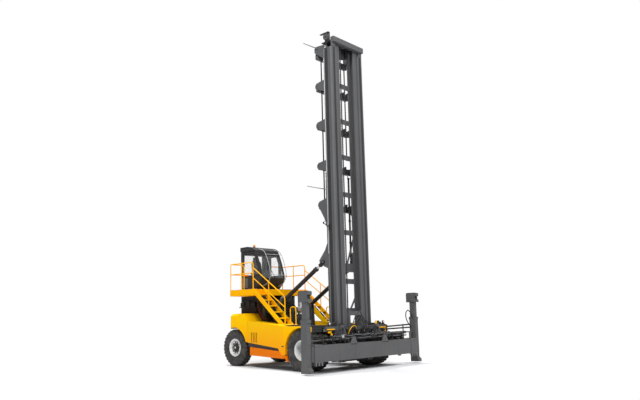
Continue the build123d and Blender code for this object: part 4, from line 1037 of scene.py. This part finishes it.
class HANDLER_OT_cylinders(bpy.types.Operator):
    """Dresses the tilt and lift cylinders: rods, forks, glands, ports and hard lines"""
    bl_idname = "handler.cylinders"
    bl_label = "Cylinders"

    def execute(self, context):
        self.dress_tilt()
        self.dress_lift()
        self.cap_pins()
        return {"FINISHED"}

    def dress_tilt(self):
        """Rods, forks, glands and hard lines of the tilt cylinders, drawn along X and swung into place."""
        reach = TILT_REACH
        rod = lathe([(0.0, 0.40), (0.036, 0.40), (0.038, 0.404), (0.038, reach - 0.232)], (0, 0, 0), 40, "x")
        fork = []
        for y0, y1 in ((-0.065, -0.028), (0.028, 0.065)):
            ring = [(0.043, y0), (0.066, y0), (0.070, y0 + 0.004), (0.070, y1 - 0.004), (0.066, y1), (0.043, y1),
                    (0.043, y0)]
            fork.append(lathe(ring, (reach, 0, 0), 36))
            fork.append(boxes([(reach - 0.235, reach - 0.052, y0 + 0.001, y1 - 0.001, -0.052, 0.052)], 0.004, 0.0))
        fork.append(boxes([(reach - 0.238, reach - 0.200, -0.065, 0.065, -0.058, 0.058)], 0.012, 0.0))
        collar = [(0.038, reach - 0.242), (0.050, reach - 0.241), (0.056, reach - 0.23)]
        fork.append(lathe(collar, (0, 0, 0), 36, "x"))
        gland = [(0.0725, reach - 0.475), (0.086, reach - 0.470), (0.088, reach - 0.464), (0.088, reach - 0.412),
                 (0.084, reach - 0.404), (0.060, reach - 0.400), (0.046, reach - 0.396), (0.0388, reach - 0.394)]
        ports = [(x, x + 0.05, -0.025, 0.025, 0.062, 0.094) for x in (0.245, reach - 0.56)]
        clips = [(x, x + 0.022, -0.016, 0.016, 0.068, 0.095) for x in np.arange(0.7, reach - 0.7, 0.75)]
        trim = joined([lathe(gland, (0, 0, 0), 44, "x"), boxes(ports + clips, 0.004, 0.0)])
        line = tube([(0.27, 0.0, 0.082), (reach - 0.535, 0.0, 0.082)], 0.010, 10)
        for side, s in SIDES:
            body = f"tilt_rod_{side}"
            make(f"tilt_rod_bar_{side}", sided(swung(rod), s), "chrome", body, replaces=[body])
            make(f"tilt_fork_{side}", sided(swung(joined(fork)), s), "black", body)
            make(f"tilt_gland_{side}", sided(swung(trim), s), "black", f"tilt_barrel_{side}")
            make(f"tilt_line_{side}", sided(swung(line), s), "black", f"tilt_barrel_{side}")

    def dress_lift(self):
        """Glands, rings, ports and hard lines of the lift barrels."""
        middle = at(*LIFT_AT, 0)
        top = [(BARREL_R, 6.860), (0.090, 6.865), (0.090, 6.905), (0.06, 6.917), (0.040, 6.919)]
        rings = [lathe(top, middle, 40, "z")]
        for z in (6.78, 1.12):
            ring = [(BARREL_R, z - 0.03), (0.084, z - 0.026), (0.084, z + 0.022), (0.076, z + 0.03),
                    (BARREL_R, z + 0.03)]
            rings.append(lathe(ring, middle, 40, "z"))
        rings.append(boxes([(0.09, 0.13, 0.68, 0.72, 1.06, 1.12), (0.09, 0.13, 0.68, 0.72, 6.60, 6.66)]))
        make("lift_glands", pair(joined(rings)), "black", "mast_outer")
        lines = pipes([[(0.115, 0.70, 1.09), (0.085, 0.70, 1.09), (0.085, 0.70, 6.63), (0.115, 0.70, 6.63)]], 0.010,
                      0.03)
        clips = boxes([(0.070, 0.120, 0.685, 0.715, z, z + 0.03) for z in np.arange(1.7, 6.5, 0.8)])
        make("lift_lines", pair(joined([lines, clips])), "steel", "mast_outer")

    def cap_pins(self):
        """Bolted caps on the tilt cylinders' base pins and the mast's pivots."""
        caps = []
        for x, y, z, r in ((TILT_BASE[0], 0.926, TILT_BASE[2], 0.062), (0.480, 0.986, 0.620, 0.075)):
            disc = lathe([(r, 0.0), (r, 0.008), (r - 0.006, 0.012), (0, 0.012)], at(x, y - 0.001, z), 30)
            turns = np.linspace(0, 2 * np.pi, 6, endpoint=False)
            bolts = [(x + 0.7 * r * np.cos(t), y + 0.010, z + 0.7 * r * np.sin(t)) for t in turns]
            caps.append(pair(joined([disc, heads(bolts, OUT, 0.009, 0.008)])))
        make("pin_caps", caps[0], "frame")
        make("pivot_caps", caps[1], "mast", "mast_outer")


# Mast and spreader
CROSS_Z = (11.40, 10.13, 8.66, 7.16, 5.70)
BAR_Z = (10.32, 8.93, 7.56, 6.16, 4.76, 3.00, 1.40)
WEB_Y = 0.8595
WEB_Z = (0.27, 11.58)
LAMP_AT = (0.370, 1.150, 5.010)
CHAIN_AT = (0.430, 0.260, 11.640)
SHEAVE_AT = (0.450, 12.010)
ROD_Y = -0.8706
VALVE_X = 0.857


class HANDLER_OT_mast(bpy.types.Operator):
    """Adds chain links, bolts, braces, lamps, pipes, web edge strips in a painted highlight, sheets of painted shade
    and sheave detail to the mast
    """
    bl_idname = "handler.mast"
    bl_label = "Mast"

    def execute(self, context):
        bolt = context.scene.handler_sizes.bolt
        self.hang_chains()
        self.join_frame(bolt)
        self.add_lamps()
        self.dress_webs()
        self.dress_head(bolt)
        return {"FINISHED"}

    def hang_chains(self):
        """Leaf chains with their links, pins, sheaves and hangers."""
        z = np.arange(2.04, 11.62, 0.10)
        links = [(0.5490, 0.5760, 0.239, 0.281, 2.012, 11.64), (0.2840, 0.3115, 0.239, 0.281, 7.470, 11.64),
                 (0.3020, 0.3245, 0.235, 0.285, 7.480, 7.640), (0.3950, 0.4650, 0.212, 0.226, 11.59, 11.848),
                 (0.3950, 0.4650, 0.294, 0.308, 11.59, 11.848)]
        links += [(0.5470, 0.5780, 0.236, 0.284, k, k + 0.058) for k in z]
        links += [(0.2820, 0.3135, 0.236, 0.284, k, k + 0.058) for k in z[z > 7.6]]
        pins = [(0.562, 0.2835, k + s) for k in z for s in (0.012, 0.046)]
        half = [(0.0, 0.030), (0.116, 0.030), (0.118, 0.028), (0.118, 0.018), (0.104, 0.014)]
        sheave = lathe([(r, -h) for r, h in half] + half[::-1], at(*CHAIN_AT), 56)
        axle = pipes([[(CHAIN_AT[0], y, CHAIN_AT[2]) for y in (0.205, 0.315)]], 0.028, 0.01, 20)
        part = joined([boxes(links, 0.004), heads(pins, OUT, 0.010, 0.004), sheave, axle])
        make("leaf_chains", pair(part), "chain", "mast_inner", replaces=["lift_chains"])

    def join_frame(self, bolt):
        """Bolts, braces, steps, gussets and welds of the outer stage."""
        bolts = [(x, WEB_Y, c + d) for c in CROSS_Z for x in (-0.125, -0.075) for d in (-0.07, 0, 0.07)]
        bolts += [(0.02 + 0.12 * math.cos(t), WEB_Y, 3.68 + 0.12 * math.sin(t)) for t in np.linspace(1.8, 5.6, 5)]
        bolts += [(x, WEB_Y, c) for c in (0.90, 1.45, 2.4, 4.9, 6.4, 7.9, 9.4, 10.9) for x in (0.40, 0.56)]
        make("mast_bolts", pair(heads(bolts, OUT, bolt, 0.012)), "mast", "mast_outer", smooth=False)
        braces = pipes([[(0.235, 0.575, 4.62), (0.235, 0.17, 3.63)], [(0.235, 0.575, 2.45), (0.235, 0.30, 2.05)]],
                       0.034)
        steps = boxes([(-0.165, -0.035, y - 0.006, y + 0.006, c + 0.105, c + 0.215) for c in CROSS_Z[1:]
                       for y in (0.20, 0.62)])
        gussets = plates([[(0.155, 3.64), (0.312, 3.64), (0.312, 4.05), (0.29, 4.05)]], 0.40, 0.42)
        make("mast_braces", pair(joined([braces, steps, gussets])), "mast", "mast_outer")
        welds = [[(x, 0.816, c - 0.11), (x, 0.816, c + 0.11)] for c in CROSS_Z for x in (-0.163, -0.037)]
        make("mast_welds", pair(pipes(welds, 0.007, 0.01, 6)), "mast", "mast_outer")

    def add_lamps(self):
        """Side lamps on stalks and the two lamp rods."""
        stalks = pipes([[(0.36, 0.858, 4.90), (0.36, 1.00, 4.90), (0.36, 1.13, 4.99)]], 0.016, 0.08)
        bases = boxes([(0.31, 0.41, 0.858, 0.882, 4.80, 5.00)], 0.006)
        bowls = lathe([(0.0, -0.05), (0.040, -0.045), (0.056, 0.01), (0.060, 0.030), (0.056, 0.034), (0.050, 0.030)],
                      at(*LAMP_AT), 32, "x")
        make("side_lamps", pair(joined([stalks, bases, bowls])), "black", "mast_outer")
        eyes = lathe([(0.052, 0.028), (0.030, 0.033), (0.0, 0.034)], at(*LAMP_AT), 32, "x")
        make("side_lenses", pair(eyes), "white", "mast_outer")
        rods = [[(0.0, 11.672), (-0.365, 11.896), (-0.730, 12.120)],
                [(0.340, 6.234), (-0.175, 6.377), (-0.690, 6.520)]]
        rods = [tube([at(x, ROD_Y, h) for x, h in rod], (0.020, 0.017, 0.014), 12) for rod in rods]
        make("lamp_rods", joined(rods), "light", "mast_outer", replaces=["mast_lamps"])

    def dress_webs(self):
        """Edge strips in a paler grey as a painted highlight, the web's hollow and the gap at the front in a darker
        grey as painted shade, lines on the uprights' webs, and the pipes behind them.
        """
        # Painted highlight: the raised strips take a paler grey, where light would catch them.
        edge_highlights = boxes([(0.272, 0.326, 0.858, 0.876, *WEB_Z), (0.596, 0.676, 0.858, 0.872, *WEB_Z)], 0.006)
        make("web_edges", pair(edge_highlights), "light", "mast_outer")
        # Painted shade: darker sheets over the web's hollow and over the channel gap at the front.
        recess_shade = boxes([(0.330, 0.470, 0.859, 0.8625, *WEB_Z), (0.6885, 0.6925, 0.690, 0.800, *WEB_Z)], 0.001)
        make("web_recess", pair(recess_shade), "dark", "mast_outer", smooth=False)
        lines = pipes([[(0.300, 0.886, 3.95), (0.300, 0.886, 11.20)]], 0.013)
        make("web_lines", pair(lines), "pale", "mast_outer")
        drops = pipes([[(0.080, 0.790, 5.60), (0.080, 0.790, 11.44)]], 0.025)
        looms = [[(0.245, 0.345 + 0.034 * k, 3.60), (0.245, 0.345 + 0.034 * k, 6.92 - 0.06 * k)] for k in range(3)]
        clamps = boxes([(0.225, 0.268, 0.322, 0.436, c, c + 0.05) for c in (3.70, 4.40, 5.20, 5.70, 6.20, 6.80)])
        make("mast_pipes", pair(joined([drops, pipes(looms, 0.014), clamps])), "black", "mast_outer")

    def dress_head(self, bolt):
        """Head cheeks, a head plate and a foot block in a darker grey as painted shade, sheave rims, head bolts and
        the inner bars' seams.
        """
        make("head_cheeks", pair(boxes([(0.640, 0.700, 0.66, 0.858, 11.606, 11.760)])), "mast", "mast_inner")
        # Painted shade: a darker block at the foot of the mast, between the front wheels, darkens the space under the
        # machine.
        make("mast_foot", boxes([(0.320, 0.640, -0.598, 0.598, 0.260, 0.500)], 0.02), "dark", "mast_outer")
        # Painted shade: a darker plate behind the head sheaves, where they lie in shade.
        head_plate = walls([[(-0.398, 11.50), (0.0, 11.36), (0.0, 11.84), (-0.398, 11.84)],
                            [(0.0, 11.36), (0.398, 11.50), (0.398, 11.84), (0.0, 11.84)]], 0.328, 0.362)
        make("head_plate", head_plate, "dark", "mast_inner", smooth=False)
        rims = []
        for y in (-0.903, -0.842):
            rim = [(0.108, y - 0.004), (0.138, y - 0.003), (0.140, y), (0.138, y + 0.003), (0.108, y + 0.004)]
            rims.append(lathe(rim, at(SHEAVE_AT[0], 0, SHEAVE_AT[1]), 56))
        rims.append(heads([(SHEAVE_AT[0], -0.910, SHEAVE_AT[1])], (0, -1, 0), 0.04, 0.014))
        make("sheave_rims", joined(rims), "chain", "mast_inner")
        bolts = [(0.7905, y, c) for y in np.linspace(-0.78, 0.78, 9) for c in (11.80, 11.90)]
        make("head_bolts", heads(bolts, AHEAD, 0.8 * bolt, 0.01), "mast", "mast_inner", smooth=False)
        rows = [(0.322, 0.368, -0.30, 0.30, c - 0.004, c + 0.004) for c in BAR_Z]
        make("bar_seams", boxes(rows, 0.001), "mast", "mast_inner", smooth=False)


def valve_line(x, y, low, high, end):
    """A hard line from a valve: up, ahead, down to the beam's top and along it to its end."""
    return [(VALVE_X, y, low), (VALVE_X, y, high), (x, y, high), (x, y, 0.925), (x, end, 0.925), (x, end, 0.895)]


class HANDLER_OT_spreader(bpy.types.Operator):
    """Adds lines, hoses, valve coils, stops, lamps, lugs and bolts to the spreader, its arms and its posts"""
    bl_idname = "handler.spreader"
    bl_label = "Spreader"

    def execute(self, context):
        sizes = context.scene.handler_sizes
        self.lay_runs(sizes.hose)
        self.add_stops()
        self.lay_loops(sizes.hose)
        self.dress_beam(sizes.bolt)
        self.dress_ends(sizes.bolt)
        return {"FINISHED"}

    def lay_runs(self, hose):
        """Hard lines, wavy runs along the beam and bent hoses, with their clips, trays and valve coils."""
        lines = []
        for k in range(4):
            x = 0.935 + 0.034 * k
            lines.append(valve_line(x, -0.24 - 0.05 * k, 1.185, 1.28 + 0.03 * k, -2.30 + 0.09 * k))
            lines.append(valve_line(x, 0.18 + 0.06 * k, 1.145, 1.24 + 0.03 * k, 2.30 - 0.09 * k))
        make("spreader_lines", pipes(lines, 0.85 * hose, 0.07), "hose", "spreader")
        rows = [(0.915, 1.06, y, y + 0.035, 0.898, 0.946) for y in (-2.0, -1.55, -0.75, 0.75, 1.55, 2.0)]
        make("line_clips", boxes(rows), "steel", "spreader")
        t = np.linspace(0, 1, 60)[:, None]
        turn = 2 * np.pi * t
        runs = []
        pale = []
        for k, x in enumerate((0.925, 0.955, 0.985, 1.205, 1.235, 1.260, 0.940, 0.970, 1.220)):
            wave = 0.030 * np.sin(turn * (2.5 + 0.7 * k) + 1.3 * k) + 0.022 * np.sin(turn * (6 + k) + 2.1 * k)
            sway = 0.016 * np.cos(turn * (3 + 0.5 * k) + k)
            along = -2.40 + 0.06 * k + (4.80 - 0.11 * k) * t
            path = np.concatenate([DRIVE_X + x + sway, along, 0.955 + 0.022 * k + np.abs(wave)], axis=1)
            (pale if k in (4, 8) else runs).append(tube(path, 0.9 * hose, 8))
        make("spreader_runs", joined(runs), "hose", "spreader")
        make("spreader_conduit", joined(pale), "light", "spreader")
        trays = [(0.905, 0.912, s * 1.15, s * 2.42, 0.898, 1.10) for s in (1, -1)]
        trays += [(x, x + 0.03, s * y, s * y + 0.03, 0.898, 1.16) for s in (1, -1) for y in (1.3, 1.9, 2.36)
                  for x in (0.915, 1.25)]
        make("hose_trays", boxes(trays), "black", "spreader")
        spans = ((-1.45, -0.55, 1.36), (-1.30, -0.42, 1.42), (1.40, 0.50, 1.34), (1.20, 0.38, 1.40))
        bent = [[(VALVE_X, y1, 1.14), (0.870, y1, z1 - 0.05), (0.93, 0.5 * (y0 + y1), z1), (0.99, y0, 1.22),
                 (1.10, y0, 1.19)] for y0, y1, z1 in spans]
        make("spreader_hoses", flows(bent, hose), "hose", "spreader")
        coils = [(0.826, 0.888, -0.505 + 0.055 * k, -0.465 + 0.055 * k, 1.188, 1.235) for k in range(6)]
        coils += [(0.826, 0.888, 0.150 + 0.055 * k, 0.190 + 0.055 * k, 1.148, 1.195) for k in range(5)]
        make("valve_coils", boxes(coils, 0.008), "plastic", "spreader")

    def add_stops(self):
        """Yellow side stops on the spreader, boxes and lamps on the carriage's upper bar."""
        stops = boxes([(0.802, 0.850, 1.28, 1.645, 1.335, 1.375), (0.802, 0.860, 1.48, 1.610, 1.235, 1.295)], 0.008)
        knob = lathe([(0.0, 0.060), (0.030, 0.058), (0.038, 0.050), (0.038, 0.0)], at(0.802, 1.455, 1.19), 28, "x")
        far = boxes([(0.802, 0.850, 1.00, 1.279, 1.335, 1.375), (0.802, 0.850, 0.93, 1.00, 1.335, 1.60)], 0.008)
        make("yellow_stops", joined([pair(joined([stops, knob])), far]), "yellow", "spreader")
        horns = boxes([(0.712, 0.786, 1.12, 1.22, 1.449, 1.60), (0.720, 0.780, 1.27, 1.34, 1.449, 1.56),
                       (0.715, 0.785, 1.44, 1.52, 1.449, 1.60), (0.730, 0.770, 0.72, 0.98, 1.449, 1.53)], 0.015)
        make("bar_boxes", pair(horns), "black", "carriage")
        discs = lathe([(0.0, 0.012), (0.034, 0.011), (0.040, 0.0)], at(0.785, 1.48, 1.545), 28, "x")
        make("bar_lamps", pair(discs), "white", "carriage")

    def lay_loops(self, hose):
        """Feed loops over the valves, their ends, the hose rails and the post's hose."""
        loops = []
        for k, (y0, y1, z1) in enumerate(((-0.40, 0.20, 1.94), (-0.30, 0.34, 1.78), (-0.22, 0.26, 1.66),
                                          (-0.55, -0.12, 1.58), (0.10, 0.52, 1.62))):
            loops.append([(VALVE_X, y0, 1.13), (0.90, y0 + 0.03, 0.62 * z1 + 0.42),
                          (0.93 - 0.012 * k, 0.45 * y0 + 0.55 * y1, z1), (0.90, y1 - 0.05, 0.55 * z1 + 0.48),
                          (VALVE_X, y1, 1.11)])
        make("feed_loops", flows(loops, hose), "hose", "spreader")
        arc = [(VALVE_X, -0.68, 1.05), (0.92, -0.64, 1.28), (0.945, -0.52, 1.42), (0.935, -0.34, 1.45),
               (0.88, -0.18, 1.34)]
        make("marked_hose", flows([arc], 0.8 * hose), "yellow", "spreader")
        ends = [(0.905, -1.10 + 0.16 * k, 1.075 + 0.05 * (k * 3 % 5)) for k in range(12)]
        make("hose_ends", heads(ends, AHEAD, 0.030, 0.020), "steel", "spreader")
        rails = pipes([[(1.00, 1.30, 1.43), (1.00, 1.42, 1.38), (1.00, 2.80, 1.42)],
                       [(1.00, 1.32, 1.29), (1.00, 2.80, 1.31)]], 0.027)
        stands = boxes([(0.985, 1.015, y - 0.02, y + 0.02, 0.895, 1.44) for y in (1.34, 2.36)], 0.004)
        make("hose_rails", joined([rails, stands]), "black", "spreader")
        loop = [(1.02, 2.852, 1.34), (1.02, 2.70, 1.45), (1.02, 2.57, 1.63), (1.03, 2.54, 1.83), (1.05, 2.64, 1.94),
                (1.08, 2.77, 1.85), (1.10, 2.852, 1.64)]
        make("post_hose", flows([loop], 0.018), "hose", "tele_left")

    def dress_beam(self, bolt):
        """Lugs, slots drawn as darker strips of painted shade, tabs, flood lamp, seams and bolts of the beam."""
        lugs = [[(y - 0.17, 0.896), (y + 0.17, 0.896), (y + 0.05, 1.11), (y - 0.05, 1.11)] for y in (-0.85, 0.85)]
        make("beam_lugs", walls(lugs, 1.262, 1.302), "mast", "spreader", smooth=False)
        # Painted shade: each slot is a thin darker strip standing for the shade inside it.
        slots = boxes([(1.296, 1.3035, y - 0.18, y + 0.18, 0.852, 0.880) for y in (-0.85, 0.85)], 0.001)
        make("beam_slots", slots, "dark", "spreader", smooth=False)
        tips = [(1.309, 1.317, s * y - 0.028, s * y + 0.028, 0.272, 0.392) for s in (1, -1)
                for y in (2.45, 2.59, 2.73)]
        tips += [(1.21, 1.30, s * 1.72 - 0.05, s * 1.72 + 0.05, 0.335, 0.385) for s in (1, -1)]
        make("tab_faces", boxes(tips), "light", "spreader", smooth=False)
        lamp = lathe([(0.0, 0.055), (0.060, 0.052), (0.072, 0.044), (0.075, 0.03), (0.07, -0.02), (0.03, -0.05),
                      (0.0, -0.05)], at(1.000, -1.04, 1.10), 40, "x")
        make("flood_lamp", lamp, "white", "spreader")
        stem = pipes([[(0.90, -1.04, 0.95), (0.95, -1.04, 1.02), (0.965, -1.04, 1.10)]], 0.014)
        make("flood_stem", stem, "black", "spreader")
        rows = [(1.298, 1.302, y - 0.003, y + 0.003, 0.39, 0.89) for y in (-1.6, -0.8, 0.8, 1.6)]
        make("beam_seams", boxes(rows, 0.001), "frame", "spreader", smooth=False)
        collar = [(1.3145, s * y, z) for s in (1, -1) for y in (2.44, 2.58, 2.74) for z in (0.42, 0.86)]
        crown = [(x, s * y, 0.9145) for s in (1, -1) for y in (2.44, 2.74) for x in (0.93, 1.10, 1.27)]
        part = joined([heads(collar, AHEAD, bolt, 0.012), heads(crown, UP, bolt, 0.012)])
        make("beam_bolts", part, "mast", "spreader", smooth=False)

    def dress_ends(self, bolt):
        """Wear pads, studs and twist-lock bosses of the arms and posts."""
        pads = boxes([(0.935, 1.245, 2.846, 3.032, 1.60, 1.612), (0.955, 1.225, 2.846, 3.032, 1.18, 1.19),
                      (0.955, 1.225, 2.846, 3.032, 0.93, 0.94)])
        studs = [(1.2195, 2.94 + d, z) for d in (-0.06, 0.06) for z in (0.30, 0.62, 1.05, 1.35, 1.52)]
        trim = joined([pads, heads(studs, AHEAD, bolt, 0.012)])
        boss = lathe([(0.0, 0.05), (0.034, 0.045), (0.045, 0.02), (0.045, 0.0), (0.030, -0.01), (0.030, -0.05),
                      (0, -0.05)], at(1.245, 2.94, 2.400), 28, "x")
        plate = boxes([(1.236, 1.262, 2.87, 3.01, 2.348, 2.362), (1.236, 1.262, 2.87, 3.01, 2.438, 2.452),
                       (0.90, 1.20, 2.87, 3.01, 2.588, 2.598)], 0.004)
        lock = joined([boss, plate])
        bolts = heads([(x, 2.8505, z) for x in (0.90, 1.05, 1.18) for z in (2.29, 2.53)], (0, -1, 0), bolt, 0.010)
        for side, s in SIDES:
            make(f"sleeve_trim_{side}", sided(trim, s), "mast", f"tele_{side}", smooth=False)
            make(f"lock_{side}", sided(lock, s), "chain", f"post_{side}")
            make(f"head_studs_{side}", sided(bolts, s), "mast", f"post_{side}", smooth=False)


# Stage
LIGHTS = (("key", (12, -17, 27), (0, 0, 4), 9, 7600), ("fill", (21, -3, 19), (0, 0, 4), 11, 3500),
          ("rim", (-8, 22, 20), (0, 0, 5), 14, 900), ("top", (-13, 3, 27), (0, -1, 0), 10, 7800))
FLOOR_REACH = 160.0
SKY_STRENGTH = 0.24


class HANDLER_OT_stage(bpy.types.Operator):
    """Lays the pale floor, soft lights and the camera"""
    bl_idname = "handler.stage"
    bl_label = "Stage"

    def execute(self, context):
        self.lay_floor(context.scene)
        self.hang_sky(context.scene)
        self.set_lights(context.scene)
        self.set_camera(context.scene, context.scene.handler_camera)
        return {"FINISHED"}

    def lay_floor(self, scene):
        """A pale floor that turns plain white for the camera away from the machine."""
        f = Finish("pale_floor")
        f.shade(Base_Color=f.mix(f.noise(0.4, 3.0), (0.70, 0.71, 0.72, 1), (0.73, 0.74, 0.75, 1)), Roughness=0.9,
                Specular_IOR_Level=0.1)
        away = Value(f, f.node("ShaderNodeVectorMath", {"operation": "LENGTH"}, {0: f.coords}).outputs["Value"])
        seen = Value(f, f.node("ShaderNodeLightPath").outputs["Is Camera Ray"])
        white = f.node("ShaderNodeEmission", None, {"Strength": 1.0})
        both = f.node("ShaderNodeMixShader", None, {0: seen * f.span(away, 6.0, 13.0), 1: f.shader.outputs[0],
                                                    2: white.outputs[0]})
        f.tree.links.new(both.outputs[0], f.tree.nodes["Material Output"].inputs["Surface"])
        mesh = bpy.data.meshes.new("floor")
        corners = [(x * FLOOR_REACH, y * FLOOR_REACH, 0) for x, y in ((-1, -1), (1, -1), (1, 1), (-1, 1))]
        mesh.from_pydata(corners, [], [(0, 1, 2, 3)])
        mesh.materials.append(f.material)
        floor = bpy.data.objects.new("floor", mesh)
        scene.collection.objects.link(floor)

    def hang_sky(self, scene):
        """A dim even sky that the camera sees as white."""
        world = bpy.data.worlds.new("soft_sky")
        world.use_nodes = True
        nodes, links = world.node_tree.nodes, world.node_tree.links
        backdrop = nodes.new("ShaderNodeBackground")
        backdrop.inputs["Color"].default_value = (1.0, 1.0, 1.0, 1)
        nodes["Background"].inputs["Color"].default_value = (0.97, 0.98, 1.0, 1)
        nodes["Background"].inputs["Strength"].default_value = SKY_STRENGTH
        choice = nodes.new("ShaderNodeMixShader")
        links.new(nodes.new("ShaderNodeLightPath").outputs["Is Camera Ray"], choice.inputs[0])
        links.new(nodes["Background"].outputs[0], choice.inputs[1])
        links.new(backdrop.outputs[0], choice.inputs[2])
        links.new(choice.outputs[0], nodes["World Output"].inputs["Surface"])
        scene.world = world
        scene.view_settings.view_transform = "Standard"

    def set_lights(self, scene):
        """Large soft lamps, each turned to its aim."""
        for name, place, aim, size, power in LIGHTS:
            lamp = bpy.data.lights.new(name, "AREA")
            lamp.size = size
            lamp.energy = power
            holder = bpy.data.objects.new(name, lamp)
            holder.location = place
            holder.rotation_euler = (Vector(aim) - Vector(place)).to_track_quat("-Z", "Y").to_euler()
            scene.collection.objects.link(holder)

    def set_camera(self, scene, view):
        """The camera at its stand, turned by heading, pitch and roll."""
        lens_data = bpy.data.cameras.new("view")
        lens_data.sensor_width = 36.0
        lens_data.lens = view.lens
        lens_data.clip_end = 500
        camera = bpy.data.objects.new("view", lens_data)
        ahead = Vector((math.cos(view.heading) * math.cos(view.pitch), math.sin(view.heading) * math.cos(view.pitch),
                        math.sin(view.pitch)))
        right = Vector((math.sin(view.heading), -math.cos(view.heading), 0))
        up = right.cross(ahead)
        turn_right = math.cos(view.roll) * right + math.sin(view.roll) * up
        turn_up = -math.sin(view.roll) * right + math.cos(view.roll) * up
        axes = Matrix((turn_right, turn_up, -ahead)).transposed()
        camera.matrix_world = Matrix.Translation(at(*view.stand)) @ axes.to_4x4()
        scene.collection.objects.link(camera)
        scene.camera = camera


STEPS = [HANDLER_OT_finishes, HANDLER_OT_tyres, HANDLER_OT_rims, HANDLER_OT_rails, HANDLER_OT_body, HANDLER_OT_deck,
         HANDLER_OT_cab, HANDLER_OT_seat, HANDLER_OT_engine, HANDLER_OT_cylinders, HANDLER_OT_mast,
         HANDLER_OT_spreader, HANDLER_OT_stage]


class HANDLER_PT_panel(bpy.types.Panel):
    """Lists the dressing steps"""
    bl_idname = "HANDLER_PT_panel"
    bl_label = "Container handler"
    bl_space_type = "VIEW_3D"
    bl_region_type = "UI"
    bl_category = "Handler"

    def draw(self, context):
        for group in (context.scene.handler_colours, context.scene.handler_sizes, context.scene.handler_camera):
            for key in group.__annotations__:
                self.layout.prop(group, key)
        for step in STEPS:
            self.layout.operator(step.bl_idname)


GROUPS = (("handler_colours", HandlerColours), ("handler_sizes", HandlerSizes), ("handler_camera", HandlerCamera))


def register():
    """Registers the classes and hangs the settings on the scene."""
    for name, group in GROUPS:
        bpy.utils.register_class(group)
        setattr(bpy.types.Scene, name, bpy.props.PointerProperty(type=group))
    for step in STEPS:
        bpy.utils.register_class(step)
    bpy.utils.register_class(HANDLER_PT_panel)


def unregister():
    """Takes the classes and settings away again."""
    bpy.utils.unregister_class(HANDLER_PT_panel)
    for step in reversed(STEPS):
        bpy.utils.unregister_class(step)
    for name, group in reversed(GROUPS):
        delattr(bpy.types.Scene, name)
        bpy.utils.unregister_class(group)


def main():
    """Registers the classes and runs every step in order."""
    register()
    for step in STEPS:
        group, name = step.bl_idname.split(".")
        getattr(getattr(bpy.ops, group), name)()


if __name__ == "__main__":
    main()
